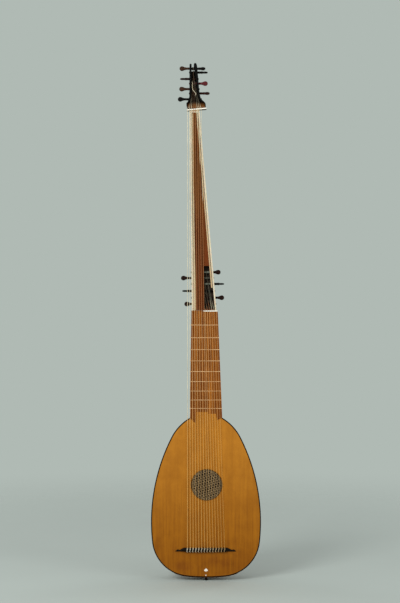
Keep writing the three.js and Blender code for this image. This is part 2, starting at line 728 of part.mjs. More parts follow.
function placePeg([string, side, height, depth, reach, quarter, start], box) {
  const up = mix(box.bottom, box.top, height);
  const walls = [box.left(up), box.right(up)];
  const span = walls[1] - walls[0];
  const winding = mix(box.innerLeft(up), box.innerRight(up), start);
  return {
    string, side, height: up, depth: mix(box.front, box.back, depth), reach: reach * pegReach,
    turn: quarter * Math.PI / 2, wall: side < 0 ? walls[0] : walls[1], span, winding
  };
}

const lowerPegs = lowerPegShares.map((row) => placePeg(row, {
  bottom: extensionFoot, top: pegboxTop, front: extensionFront, back: pegboxFloor,
  left: extensionLeftAt, right: extensionRightAt, innerLeft: pegboxLeftAt, innerRight: pegboxRightAt
}));
const upperPegs = upperPegShares.map((row) => placePeg(row, {
  bottom: upperPegboxBase, top: upperHeight(1), front: upperPegboxFront, back: upperPegboxBack,
  left: cheekLeftAt, right: cheekRightAt,
  innerLeft: (height) => acrossAt(upperLine(slotLeftShares), height),
  innerRight: (height) => acrossAt(upperLine(slotRightShares), height)
}));

function makePeg(peg) {
  const head = pegHeadShares.map(([along, wide, thick]) => {
    return [along * pegHeadLength - peg.reach, wide * pegHeadHalfWidth, thick * pegHeadHalfThickness];
  });
  const tail = peg.span + pegTailOverrun;
  const shankEnds = [-pegShankRun + seatGap, 0, tail - pegTailOverrun / 2];
  const shank = shankEnds.map((at) => [at, shankRadiusAt(at), shankRadiusAt(at)]);
  const stations = [...head, ...shank, [tail, shankRadiusAt(tail) / 2, shankRadiusAt(tail) / 2]];
  return loft(stations.map(([along, wide, thick]) => Array.from({ length: pegSides }, (unused, side) => {
    const turn = 2 * Math.PI * side / pegSides;
    return new THREE.Vector3(along, thick * Math.cos(turn), wide * Math.sin(turn));
  })));
}

// Tapered bore for a peg through both walls
function pegBore(peg) {
  const radius = (at) => (shankRadiusAt(at) + seatGap) / Math.cos(Math.PI / pegSides);
  const ends = [-cutOverrun, peg.span + cutOverrun];
  const length = ends[1] - ends[0];
  const bore = new THREE.CylinderGeometry(radius(ends[0]), radius(ends[1]), length, pegSides);
  bore.rotateZ(Math.PI / 2).translate((ends[0] + ends[1]) / 2, 0, 0);
  if (peg.side > 0) bore.rotateZ(Math.PI);
  return bore.translate(peg.wall, peg.depth, peg.height);
}

// Strings are counted from 1 at the treble; places from 0 at the bass
function stringRadius(string) {
  const fingered = mix(thinnestString, thickestFingered, (string - 1) / (fingeredCount - 1));
  const openShare = (string - fingeredCount) / (stringCount - fingeredCount);
  return (string <= fingeredCount ? fingered : mix(thickestFingered, thickestString, openShare)) / 2;
}

// Where a string enters the bridge from the tail side
function bridgePoint(string) {
  const across = bridgeStringLeft + bridgeStringPitch * (stringCount - string);
  return new THREE.Vector3(across, -stringRiseAtBridge, bridgeHeight - bridgeWidth / 2 - knotReach / 2);
}

// Where a string leaves its nut towards the peg
function nutPoint(string) {
  const place = stringCount - string;
  if (string <= fingeredCount) {
    const across = lowerStringLeft + lowerStringPitch * (fingeredCount - string);
    return new THREE.Vector3(across, -stringRiseAtLowerNut, neckTop + seatGap);
  }
  const across = upperStringLeft + upperStringPitch * place;
  const slope = Math.tan(upperNutSlant) * (across - (upperNutLeft + upperNutRight) / 2);
  const rear = nutWidth / 2 / Math.cos(upperNutSlant) + seatGap;
  return new THREE.Vector3(across, -stringRiseAtUpperNut, upperNutHeight + slope + rear);
}

// Route of a string: tied over the bridge, along to the nut, and round its peg
function stringRoute(peg) {
  const radius = stringRadius(peg.string);
  const entry = bridgePoint(peg.string);
  const across = entry.x;
  const front = bridgeHeight + bridgeWidth / 2;
  const back = bridgeHeight - bridgeWidth / 2;
  const over = bridgeRise + seatGap + radius;
  const tie = [
    [across - knotAside, -over, front - knotReach], [across - knotAside, -over, back + knotReach],
    [across - knotAside / 2, -over + knotReach / 2, back - knotReach / 2],
    [across, -mix(over, stringRiseAtBridge, knotDropShare), back - knotReach]
  ].map((point) => new THREE.Vector3(...point));
  const nut = nutPoint(peg.string);
  const turnRadius = shankRadiusAt(Math.abs(peg.winding - peg.wall)) + seatGap + radius;
  const toPeg = flat(peg.height - nut.z, peg.depth - nut.y);
  const start = toPeg.angle() - Math.asin(turnRadius / toPeg.length());
  const pitch = 2 * radius + windingSpace;
  const steps = Math.round(windingTurns * windingSteps);
  const winding = Array.from({ length: steps + 1 }, (unused, step) => {
    const turns = step / windingSteps;
    const turn = start + 2 * Math.PI * turns;
    const [depth, up] = [-turnRadius * Math.cos(turn), turnRadius * Math.sin(turn)];
    return new THREE.Vector3(peg.winding + peg.side * pitch * turns, peg.depth + depth, peg.height + up);
  });
  return [...tie, entry, nut, ...winding];
}

// A tube through a route, its rings carried along without twist
function tube(route, radius, sides) {
  const ways = route.map((point, at) => {
    const before = at > 0 ? point.clone().sub(route[at - 1]).normalize() : new THREE.Vector3();
    const after = at + 1 < route.length ? route[at + 1].clone().sub(point).normalize() : new THREE.Vector3();
    return before.add(after).normalize();
  });
  let first = new THREE.Vector3(1, 0, 0);
  return loft(route.map((point, at) => {
    first = first.clone().addScaledVector(ways[at], -first.dot(ways[at])).normalize();
    return ringAround(point, first, ways[at].clone().cross(first), radius, sides);
  }));
}

// Least gap between parts of a route that lie more than half a turn of winding from each other
function leastGap(route, radius) {
  let least = Infinity;
  for (let one = 0; one < route.length; one += 1) {
    let apart = 0;
    for (let other = one + 1; other < route.length; other += 1) {
      apart += route[other].distanceTo(route[other - 1]);
      const gap = route[one].distanceTo(route[other]) - 2 * radius;
      if (apart > Math.PI * pegShankRadius) least = Math.min(least, gap);
    }
  }
  return least;
}

// A nut from the board it stands on up to one seat gap under its thickest string, turned by its slant
function addNut(name, left, right, height, foot, stringRise, thickest, slant) {
  const tall = stringRise - thickest / 2 - seatGap + foot;
  const nut = addPiece(name, new THREE.BoxGeometry(right - left, tall, nutWidth), "ivory");
  nut.position.set((left + right) / 2, foot - tall / 2, height);
  nut.rotation.y = -slant;
}

// The pieces
addPiece("soundboard", makeSoundboard(), "belly");
addPiece("rose", makeRose(), "rose");
addPiece("heart_inlay", plate(heartOutline(0), 0, heartThickness), "ivory");
for (let rib = 0; rib < ribCount; rib += 1) addPiece(`rib_${rib + 1}`, makeRib(rib), "rib");
addPiece("neck_block", makeNeckBlock(), "spruce");
addPiece("end_clasp", makeEndClasp(), "rib");
addPiece("end_button", makeEndButton(), "dark");
addPiece("bridge", makeBridge(), "dark");
addPiece("neck", makeNeck(), "rib");
addPiece("fingerboard", plate(fingerboardOutline, 0, fingerboardThickness), "fingerboard");
for (let fret = 1; fret <= fretCount; fret += 1) {
  addPiece(`fret_${fret}`, makeFret(mix(lowerNutHeight, lastFretHeight, fretShare(fret))), "gut");
}
addNut("lower_nut", lowerNutLeft, lowerNutRight, lowerNutHeight + nutWidth / 2, fingerboardThickness,
  stringRiseAtLowerNut, thickestFingered, 0);
addPiece("extension", makeExtension(), "redwood");
const faceBack = extensionFaceDepth + faceThickness;
addPiece("extension_face", plate(faceOutline, extensionFaceDepth, faceBack), "redwood");
addPiece("upper_pegbox", makeUpperPegbox(), "dark");
addNut("upper_nut", upperNutLeft, upperNutRight, upperNutHeight, upperPegboxFront - seatGap,
  stringRiseAtUpperNut, thickestString, upperNutSlant);
for (const peg of [...lowerPegs, ...upperPegs]) {
  const piece = addPiece(`peg_${peg.string}`, makePeg(peg), "peg");
  piece.position.set(peg.wall, peg.depth, peg.height);
  piece.rotation.set(peg.turn, 0, peg.side > 0 ? Math.PI : 0);
}
let tightest = Infinity;
for (const peg of [...lowerPegs, ...upperPegs]) {
  const route = stringRoute(peg);
  addPiece(`string_${peg.string}`, tube(route, stringRadius(peg.string), stringSides), "gut");
  tightest = Math.min(tightest, leastGap(route, stringRadius(peg.string)));
}
console.log(`least gap of a string to itself: ${tightest.toFixed(2)} mm`);

export default root;
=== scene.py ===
import math

import bmesh
import bpy
from bpy.props import FloatProperty, FloatVectorProperty, PointerProperty
from mathutils import Matrix, Vector
from mathutils.geometry import tessellate_polygon


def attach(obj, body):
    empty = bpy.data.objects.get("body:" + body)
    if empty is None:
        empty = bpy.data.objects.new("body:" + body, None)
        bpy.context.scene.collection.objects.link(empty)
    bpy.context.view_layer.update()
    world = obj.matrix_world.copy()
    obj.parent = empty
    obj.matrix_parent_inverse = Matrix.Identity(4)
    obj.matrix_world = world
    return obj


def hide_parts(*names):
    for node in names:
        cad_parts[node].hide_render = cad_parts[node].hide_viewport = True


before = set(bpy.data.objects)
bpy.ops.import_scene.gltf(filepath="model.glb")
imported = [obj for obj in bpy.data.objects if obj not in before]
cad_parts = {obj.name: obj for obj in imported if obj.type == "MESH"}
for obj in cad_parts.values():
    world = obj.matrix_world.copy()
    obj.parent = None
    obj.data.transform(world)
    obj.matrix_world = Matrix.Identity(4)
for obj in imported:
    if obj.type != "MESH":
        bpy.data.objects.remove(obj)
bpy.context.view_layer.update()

bl_info = {
    "name": "Theorbo",
    "version": (1, 0, 0),
    "blender": (4, 5, 0),
    "location": "View3D > Sidebar > Theorbo",
    "description": "Builds and finishes a theorbo round its frame",
    "category": "Object",
}

# Sizes of the instrument in millimetres. Heights are counted from the lowest point of the belly, depths from
# its face.
BUTTON_DEPTH = 11.0
BUTTON_LENGTH = 12.0
BODY_HALF_WIDTH = 208.7
WIDEST_HEIGHT = 211.0
TAIL_RADIUS = 710.0
CORNER_RADIUS = 146.6
SHOULDER_RADIUS = 180.0
SHOULDER_BEND = 21.39
NECK_JOINT = 606.0
NECK_HALF = 61.6
BOWL_SHARE = 0.78
BELLY_THICK = 1.8
SEAT = 0.3   # between pieces of the frame
GAP = 0.15   # between pieces of this model
RIB_COUNT = 9
RIB_THICK = 1.8
TAIL_OPENING = 22.0
ROSE_CENTRE = (2.5, 351.0)
ROSE_RADIUS = 61.5
ROSE_PITCH = 9.8   # of the net of openings
ROSE_RING = 6.6   # radius of the circles round them
ROSE_WIDE, ROSE_NARROW = 4.5, 3.2
ROSE_TURN = 0.3   # of the net against the grain, in radians
BRIDGE_HEIGHT = 105.5
BRIDGE_HALF = 115.5
BRIDGE_WIDTH = 15.0
BRIDGE_RISE = 9.0
BRIDGE_ACROSS = -1.3
BRIDGE_DROOP = 0.85
LOWER_NUT = 1009.3
LOWER_NUT_ENDS = (-10.0, 44.2)
NUT_WIDTH = 4.4
NECK_TOP = LOWER_NUT + NUT_WIDTH
BOARD_TOP_LEFT = -55.5
BOARD_TOP_RIGHT = 44.8
NECK_DEPTH_TOP = 31.0
FRETS = 9
LAST_FRET = NECK_JOINT + 35.58
EXT_FOOT = NECK_TOP + SEAT
EXT_TOP = EXT_FOOT + 757.5
EXT_LEFT, EXT_RIGHT, EXT_BACK = (-54.0, -61.5), (39.5, -24.9), (34.0, 28.0)   # at the foot and at the top
EXT_FRONT = 6.8
FACE_FRONT = 4.0
PEGBOX_BOTTOM = EXT_FOOT + 6.0
PEGBOX_TOP = EXT_FOOT + 169.0
PEGBOX_WALLS = (7.0, 6.0)
OPENING_LEFT = -8.4
UPPER_NUT = EXT_TOP + 7.0
UPPER_NUT_ENDS = (-72.2, 1.9)
UPPER_SLANT = math.radians(5)
UPPER_BASE = EXT_TOP + SEAT
UPPER_TALL = 179.2
UPPER_FRONT, UPPER_BACK = 4.0, 36.0
STRINGS = 14
FINGERED = 6
LOWER_STRINGS = (-2.7, 8.36, -3.6)     # over the lower nut: leftmost string, spacing, depth
UPPER_STRINGS = (-70.3, 7.4, -2.0)     # over the upper nut
BRIDGE_STRINGS = (-70.3, 10.87, -5.8)  # in the bridge
GAUGES = (0.8, 1.25, 1.6)              # of the first string, the last fingered one and the last one
LOOSE_STRING = 12
CREASE = 38.0         # degrees from which an edge stays sharp
BUMP_DEPTH = 0.0003   # metres


def mm(length):
    """A length of the property groups in millimetres."""
    return length * 1000.0


def spot(x, y, z):
    """A point of the instrument, in millimetres, in the frame's metres."""
    return Vector((x, y - BUTTON_DEPTH, z + BUTTON_LENGTH)) / 1000.0


def mix(a, b, share):
    return a + (b - a) * share


def between(value, a, b):
    return (value - a) / (b - a)


def smooth(share):
    share = min(max(share, 0.0), 1.0)
    return share * share * (3 - 2 * share)


def full_turn(count):
    """The angles of that many steps of a full turn, without its end."""
    return [2 * math.pi * s / count for s in range(count)]


def steps(a, b, count):
    """That many steps from one value to another, with both ends."""
    return [mix(a, b, s / count) for s in range(count + 1)]


def circle(x, y, radius, count):
    return [(x + radius * math.cos(t), y + radius * math.sin(t)) for t in full_turn(count)]


# Lines and meshes
def curve_through(points, parts):
    """A smooth line through the points, with that many parts from each to the next."""
    points = [Vector(p) for p in points]
    line = []
    for at in range(len(points) - 1):
        a, b, c, d = (points[min(max(at + k, 0), len(points) - 1)] for k in (-1, 0, 1, 2))
        for t in (part / parts for part in range(parts)):
            line.append(0.5 * (2 * b + (c - a) * t + (2 * a - 5 * b + 4 * c - d) * t * t
                               + (3 * b - a - 3 * c + d) * t ** 3))
    return line + points[-1:]


def neighbours(route, at, closed):
    """The points before and after one of a route. At an open end it stands for the missing one."""
    before = route[at - 1] if at or closed else route[at]
    after = route[(at + 1) % len(route)] if at + 1 < len(route) or closed else route[at]
    return before, after


def moved(outline, offset):
    """An anticlockwise outline moved outwards by an offset."""
    out = []
    for at, (x, z) in enumerate(outline):
        before, after = neighbours(outline, at, True)
        first = Vector((x - before[0], z - before[1])).normalized()
        second = Vector((after[0] - x, after[1] - z)).normalized()
        side = Vector((first.y, -first.x))
        normal = Vector((first.y + second.y, -first.x - second.x))
        normal = normal.normalized() if normal.length > 1e-6 else side
        reach = max(normal.dot(side), 0.35)
        out.append((x + normal.x * offset / reach, z + normal.y * offset / reach))
    return out


def anticlockwise(outline):
    outline = [tuple(p)[:2] for p in outline]
    area = sum(a[0] * b[1] - b[0] * a[1] for a, b in zip(outline, outline[1:] + outline[:1]))
    return outline if area > 0 else outline[::-1]


def skin(count, rings, looped=False):
    """Faces between rings of that many points each."""
    pairs = [(ring * count, (ring + 1) % rings * count) for ring in range(rings if looped else rings - 1)]
    return [(a + s, a + (s + 1) % count, b + (s + 1) % count, b + s) for a, b in pairs for s in range(count)]


def box_ring(left, right, front, back, z):
    return [(left, front, z), (right, front, z), (right, back, z), (left, back, z)]


class Shape:
    """Corners and faces of one piece, in millimetres. A face's tone is the number of its finish."""

    def __init__(self):
        self.points, self.faces, self.tones = [], [], []

    def add(self, points, faces, tone=0):
        start = len(self.points)
        self.points += [tuple(p) for p in points]
        self.faces += [tuple(start + at for at in face) for face in faces]
        self.tones += [tone] * len(faces)
        return self

    def loft(self, rings, looped=False, tone=0):
        """A skin over rings of points, joined to a loop or capped at both ends."""
        count = len(rings[0])
        faces = skin(count, len(rings), looped)
        if not looped:
            faces += [tuple(range(count))[::-1], tuple(range((len(rings) - 1) * count, len(rings) * count))]
        return self.add([p for ring in rings for p in ring], faces, tone)

    def tube(self, route, radius, sides=8, closed=False, tone=0):
        """A round tube along a route."""
        route = [Vector(p) for p in route]
        rings, first = [], None
        for at, point in enumerate(route):
            before, after = neighbours(route, at, closed)
            way = (after - before).normalized()
            first = way.orthogonal() if first is None else first
            first = (first - way * first.dot(way)).normalized()
            second = way.cross(first)
            rings.append([point + (first * math.cos(t) + second * math.sin(t)) * radius for t in full_turn(sides)])
        return self.loft(rings, closed, tone)

    def band(self, route, width, fronts, thick, closed=False):
        """A flat band along points (x, z). fronts is the depth of its front, one number or one for each point."""
        fronts = fronts if isinstance(fronts, list) else [fronts] * len(route)
        rings = []
        for at, ((x, z), front) in enumerate(zip(route, fronts)):
            before, after = neighbours(route, at, closed)
            way = Vector((after[0] - before[0], after[1] - before[1])).normalized() * width / 2
            crown, back = front + thick * 0.6, front + thick
            rings.append([(x - way.y, back, z + way.x), (x - way.y, crown, z + way.x), (x, front, z),
                          (x + way.y, crown, z - way.x), (x + way.y, back, z - way.x)])
        return self.loft(rings, closed)

    def slab(self, outline, front, back, edge=0.0, holes=()):
        """A plate with a front-view outline and holes. Its front and back edges are broken by that width."""
        layers = [(front, 0.0), (back, 0.0)]
        if edge:
            layers = [(front, -edge), (front + edge, 0.0), (back - edge, 0.0), (back, -edge)]
        loops = []
        for number, line in enumerate([outline, *holes]):
            line, sign = anticlockwise(line), -1 if number else 1
            start, count = len(self.points), len(line)
            self.add([(x, depth, z) for depth, offset in layers
                      for x, z in (moved(line, offset * sign) if offset else line)],
                     [face[::sign] for face in skin(count, len(layers))])
            loops.append([range(start + layer * count, start + (layer + 1) * count) for layer in range(len(layers))])
        for layer, sign in ((0, 1), (-1, -1)):
            flat = [[Vector((self.points[i][0], self.points[i][2], 0)) for i in loop[layer]] for loop in loops]
            order = [i for loop in loops for i in loop[layer]]
            faces = [tuple(order[i] for i in tri)[::sign] for tri in tessellate_polygon(flat)]
            self.faces += faces
            self.tones += [0] * len(faces)
        return self

    def solid(self, name, looks, crease=CREASE):
        """Makes the object, smooth but for the edges sharper than the crease."""
        mesh = bpy.data.meshes.new(name)
        mesh.from_pydata([spot(*p) for p in self.points], [], self.faces)
        for look in looks:
            mesh.materials.append(finish(look))
        for polygon, tone in zip(mesh.polygons, self.tones):
            polygon.material_index = tone
        mesh.validate()
        bm = bmesh.new()
        bm.from_mesh(mesh)
        bmesh.ops.recalc_face_normals(bm, faces=bm.faces[:])
        bm.to_mesh(mesh)
        bm.free()
        soften(mesh, crease)
        made = bpy.data.objects.new(name, mesh)
        bpy.context.scene.collection.objects.link(made)
        return made

    def piece(self, name, looks, *replaced, body="root", slot=None, crease=CREASE):
        """Makes the object ride on its body, in place of the nodes replaced."""
        looks = [looks] if isinstance(looks, str) else looks
        made = self.solid(name, looks, crease)
        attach(made, body)
        if replaced:
            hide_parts(*replaced)
        return made


def soften(mesh, crease=CREASE):
    for polygon in mesh.polygons:
        polygon.use_smooth = True
    mesh.set_sharp_from_angle(angle=math.radians(crease))


def cut(made, shape, inside=0):
    """Cuts a shape out of a piece. The cut faces take the piece's finish of that number."""
    shape.tones = [inside] * len(shape.faces)
    tool = shape.solid("cutter", [material.name for material in made.data.materials])
    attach(tool, "root")
    fitted = made.modifiers.new("cut", "BOOLEAN")
    fitted.operation, fitted.solver, fitted.object = "DIFFERENCE", "EXACT", tool
    mesh = bpy.data.meshes.new_from_object(made.evaluated_get(bpy.context.evaluated_depsgraph_get()))
    made.modifiers.remove(fitted)
    old, used = made.data, tool.data
    made.data = mesh
    mesh.name = old.name
    bpy.data.objects.remove(tool)
    for left_over in (old, used):
        bpy.data.meshes.remove(left_over)
    soften(mesh)


# Outline of the body: four arcs, each swept by the direction of its outward normal
def crossing(a, radius_a, b, radius_b):
    apart = (b - a).length
    along = (radius_a ** 2 - radius_b ** 2 + apart ** 2) / (2 * apart)
    aside = math.sqrt(radius_a ** 2 - along ** 2)
    way = (b - a) / apart
    side = Vector((-way.y, way.x))
    return min(a + way * along + side * aside, a + way * along - side * aside, key=lambda p: p.y)


def heading(from_point, to_point):
    return math.atan2(to_point.y - from_point.y, to_point.x - from_point.x)


BEYOND_NECK = BODY_HALF_WIDTH - NECK_HALF
FLANK_RADIUS = (BEYOND_NECK ** 2 + (NECK_JOINT - WIDEST_HEIGHT) ** 2 - SHOULDER_BEND ** 2) / (
    2 * (BEYOND_NECK - SHOULDER_BEND))
NECK_CORNER = Vector((NECK_HALF, NECK_JOINT))
TAIL_CENTRE = Vector((0.0, TAIL_RADIUS))
FLANK_CENTRE = Vector((BODY_HALF_WIDTH - FLANK_RADIUS, WIDEST_HEIGHT))
CORNER_CENTRE = crossing(TAIL_CENTRE, TAIL_RADIUS - CORNER_RADIUS, FLANK_CENTRE, FLANK_RADIUS - CORNER_RADIUS)
SHOULDER_CENTRE = crossing(FLANK_CENTRE, FLANK_RADIUS - SHOULDER_RADIUS, NECK_CORNER, SHOULDER_RADIUS)
TAIL_END = heading(TAIL_CENTRE, CORNER_CENTRE)
CORNER_END = heading(FLANK_CENTRE, CORNER_CENTRE)
FLANK_END = heading(FLANK_CENTRE, SHOULDER_CENTRE)
NECK_END = heading(SHOULDER_CENTRE, NECK_CORNER)
TAIL_START = -math.acos(TAIL_OPENING / TAIL_RADIUS)
ARCS = ((TAIL_END, TAIL_CENTRE, TAIL_RADIUS), (CORNER_END, CORNER_CENTRE, CORNER_RADIUS),
        (FLANK_END, FLANK_CENTRE, FLANK_RADIUS), (NECK_END, SHOULDER_CENTRE, SHOULDER_RADIUS))


def outline_at(direction, offset=0.0):
    """The point (x, z) of the treble edge whose outward normal has that direction, moved out by an offset."""
    centre, radius = next((c, r) for end, c, r in ARCS if direction <= end + 1e-9)
    return centre.x + math.cos(direction) * (radius + offset), centre.y + math.sin(direction) * (radius + offset)


def headings(start, parts):
    """Directions from the start to the neck, with that many parts of each arc."""
    ends = [start, TAIL_END, CORNER_END, FLANK_END, NECK_END]
    line = [mix(ends[arc], ends[arc + 1], s / n) for arc, n in enumerate(parts) for s in range(n)]
    return line + [NECK_END]


def heading_where(test, high):
    """The direction up to which a test holds, below a high one at which it doesn't."""
    low = -math.pi / 2
    for _ in range(40):
        middle = (low + high) / 2
        low, high = (middle, high) if test(middle) else (low, middle)
    return low


def half_width(height):
    return outline_at(heading_where(lambda at: outline_at(at)[1] < height, NECK_END))[0]


def bowl_point(direction, turn, offset=0.0):
    """A point of the bowl, from the treble edge round to the bass edge as the turn goes from 0 to pi."""
    x, z = outline_at(direction)
    out_x, out_z = math.cos(direction) * offset, math.sin(direction) * offset
    return Vector(((x + out_x) * math.cos(turn), (x * BOWL_SHARE + out_x) * math.sin(turn) + BELLY_THICK + SEAT,
                   z + out_z))


def neck_edges(height):
    share = between(height, NECK_JOINT, NECK_TOP)
    return mix(-NECK_HALF, BOARD_TOP_LEFT, share), mix(NECK_HALF, BOARD_TOP_RIGHT, share)


def neck_back(height):
    return mix(NECK_HALF * BOWL_SHARE + BELLY_THICK + SEAT, NECK_DEPTH_TOP, between(height, NECK_JOINT, NECK_TOP))


def ext_edges(height):
    share = between(height, EXT_FOOT, EXT_TOP)
    return mix(*EXT_LEFT, share), mix(*EXT_RIGHT, share)


def ext_back(height):
    return mix(*EXT_BACK, between(height, EXT_FOOT, EXT_TOP))


PEGBOX_FLOOR = ext_back(PEGBOX_TOP) - 4.5

# Side lines of the upper pegbox: share of its height, share of the nut's length
CHEEK_LEFT = ((0, -0.01), (0.08, 0.004), (0.1155, -0.024), (0.158, -0.032), (0.179, -0.014), (0.2, 0.036),
              (0.23, 0.062), (0.29, 0.102), (0.353, 0.121), (0.939, 0.128), (1.004, 0.148))
CHEEK_RIGHT = ((0, 0.66), (0.036, 1), (0.08, 0.968), (0.15, 0.956), (0.179, 0.924), (0.2215, 0.82), (0.2427, 0.757),
               (0.285, 0.7), (0.4, 0.641), (0.55, 0.606), (0.88, 0.538), (0.97, 0.509), (1.02, 0.461))
SLOT_LEFT = ((0.196, 0.112), (0.27, 0.205), (0.353, 0.235), (1.004, 0.235))
SLOT_RIGHT = ((0.196, 0.731), (0.27, 0.61), (0.4, 0.529), (0.715, 0.441), (0.855, 0.385), (0.961, 0.345),
              (1.02, 0.375))
SLOT_CLOSED = (0.19, 0.795)
SLOT_BACK = 5.0


def upper_line(shares):
    return [(mix(*UPPER_NUT_ENDS, along), UPPER_BASE + up * UPPER_TALL) for up, along in shares]


def across_at(line, height):
    at = max(1, next((i for i, p in enumerate(line) if p[1] >= height), len(line) - 1))
    return mix(line[at - 1][0], line[at][0], between(height, line[at - 1][1], line[at][1]))


# Pegs: string, side of the head, shares of the pegbox's height, of its depth and of the longest reach, quarter turns,
# winding's start as a share of the way between the walls, look
LOWER_PEGS = ((6, -1, 0.143, 0.5, 0.683, 0, 0.49, "peg_dark"), (1, 1, 0.285, 0.5, 0.824, 0, 0.82, "peg_dark"),
              (5, -1, 0.436, 0.5, 0.878, 1, 0.51, "peg_black"), (2, 1, 0.595, 0.5, 0.938, 1, 0.76, "peg_black"),
              (4, -1, 0.728, 0.5, 0.976, 0, 0.56, "peg_dark"), (3, 1, 0.86, 0.5, 0.698, 0, 0.7, "peg_dark"))
UPPER_PEGS = ((14, -1, 0.258, 0.375, 1, 0, 0.2, "peg_black"), (7, 1, 0.384, 0.42, 0.937, -0.6, 0.75, "peg_wine"),
              (13, -1, 0.4775, 0.47, 0.945, 0, 0.24, "peg_brown"), (8, 1, 0.5965, 0.53, 0.846, 0, 0.71, "peg_red"),
              (12, -1, 0.696, 0.61, 0.88, 1, 0.31, "peg_wine"), (9, 1, 0.837, 0.72, 0.944, 1, 0.6, "peg_black"),
              (10, 1, 0.904, 0.25, 0.751, -0.5, 0.56, "peg_black"), (11, -1, 0.921, 0.735, 0.927, 0, 0.5, "peg_brown"))
PEG_REACH = 41.0
SHANK = (4.3, 3.5, 140.0)   # radius at the wall, and radius at a distance from it
WINDING_TURNS, WINDING_PARTS = 1.75, 22   # turns of a string on its peg, and parts of each turn


class Peg:
    """Where one peg sits, counted from the outer face of the wall under its head."""

    def __init__(self, row, upper):
        self.string, self.side, high, deep, reach, quarter, start, self.finish = row
        if upper:
            self.z = UPPER_BASE + high * UPPER_TALL
            self.y = mix(UPPER_FRONT, UPPER_BACK, deep)
            walls = [across_at(upper_line(s), self.z) for s in (CHEEK_LEFT, CHEEK_RIGHT)]
            inside = [across_at(upper_line(s), self.z) for s in (SLOT_LEFT, SLOT_RIGHT)]
        else:
            self.z = mix(EXT_FOOT, PEGBOX_TOP, high)
            self.y = mix(EXT_FRONT, PEGBOX_FLOOR, deep)
            walls = ext_edges(self.z)
            inside = [walls[0] + PEGBOX_WALLS[0], walls[1] - PEGBOX_WALLS[1]]
        self.wall = walls[0] if self.side < 0 else walls[1]
        self.span = walls[1] - walls[0]
        self.winding = mix(*inside, start)
        self.reach = reach * PEG_REACH
        self.turn = quarter * math.pi / 2
        self.body = f"peg_{self.string}"

    def at(self, along, wide, thick):
        """A point of the peg: inwards from the wall, and off its axis along the head's width and thickness."""
        c, s = math.cos(self.turn), math.sin(self.turn)
        return Vector((self.wall - self.side * along, self.y + thick * c - wide * s, self.z + thick * s + wide * c))


PEGS = [Peg(row, False) for row in LOWER_PEGS] + [Peg(row, True) for row in UPPER_PEGS]


def shank_radius(along):
    return mix(SHANK[0], SHANK[1], along / SHANK[2])


def string_radius(string):
    if string <= FINGERED:
        return mix(*GAUGES[:2], (string - 1) / (FINGERED - 1)) / 2
    return mix(*GAUGES[1:], (string - FINGERED) / (STRINGS - FINGERED)) / 2


def nut_point(string):
    first, pitch, depth = LOWER_STRINGS if string <= FINGERED else UPPER_STRINGS
    if string <= FINGERED:
        return Vector((first + pitch * (FINGERED - string), depth, NECK_TOP + SEAT))
    x = first + pitch * (STRINGS - string)
    return Vector((x, depth, UPPER_NUT + math.tan(UPPER_SLANT) * (x - sum(UPPER_NUT_ENDS) / 2)
                   + NUT_WIDTH / 2 / math.cos(UPPER_SLANT) + SEAT))


def bridge_point(string):
    first, pitch, depth = BRIDGE_STRINGS
    return Vector((first + pitch * (STRINGS - string), depth, BRIDGE_HEIGHT - BRIDGE_WIDTH / 2 - 1))


def winding(peg):
    """The string's route round its peg, from where it meets the shank."""
    radius = string_radius(peg.string)
    nut = nut_point(peg.string)
    turn_radius = shank_radius(abs(peg.winding - peg.wall)) + SEAT + radius
    reach = math.hypot(peg.z - nut.z, peg.y - nut.y)
    start = math.atan2(peg.y - nut.y, peg.z - nut.z) - math.asin(turn_radius / reach)
    pitch = 2 * radius + 0.5
    route = []
    for part in range(round(WINDING_TURNS * WINDING_PARTS) + 1):
        turn = start + 2 * math.pi * part / WINDING_PARTS
        route.append(Vector((peg.winding + peg.side * pitch * part / WINDING_PARTS,
                             peg.y - turn_radius * math.cos(turn), peg.z + turn_radius * math.sin(turn))))
    return route


# Finishes
def linear(code):
    """A colour given as red, green and blue in hexadecimal, as the shaders take it."""
    shares = [int(code[at:at + 2], 16) / 255 for at in (0, 2, 4)]
    return tuple(s / 12.92 if s <= 0.04045 else ((s + 0.055) / 1.055) ** 2.4 for s in shares) + (1.0,)


def tint(colour):
    """A colour by its name in the panel, by its hexadecimal code or as it is."""
    if not isinstance(colour, str):
        return colour
    if colour in TheorboColours.__annotations__:
        return tuple(getattr(bpy.context.scene.theorbo_colours, colour))
    return linear(colour)


def dimmed(colour, share):
    return tuple(c * share for c in tint(colour)[:3]) + (1.0,)


class Value:
    """A value in a node tree. Calculating with it adds nodes."""

    def __init__(self, tree, socket):
        self.tree, self.socket = tree, socket

    def __add__(self, other):
        return self.tree.math("ADD", self, other)

    def __sub__(self, other):
        return self.tree.math("SUBTRACT", self, other)

    def __rsub__(self, other):
        return self.tree.math("SUBTRACT", other, self)

    def __mul__(self, other):
        return self.tree.math("MULTIPLY", self, other)

    def __truediv__(self, other):
        return self.tree.math("DIVIDE", self, other)

    def __rtruediv__(self, other):
        return self.tree.math("DIVIDE", other, self)


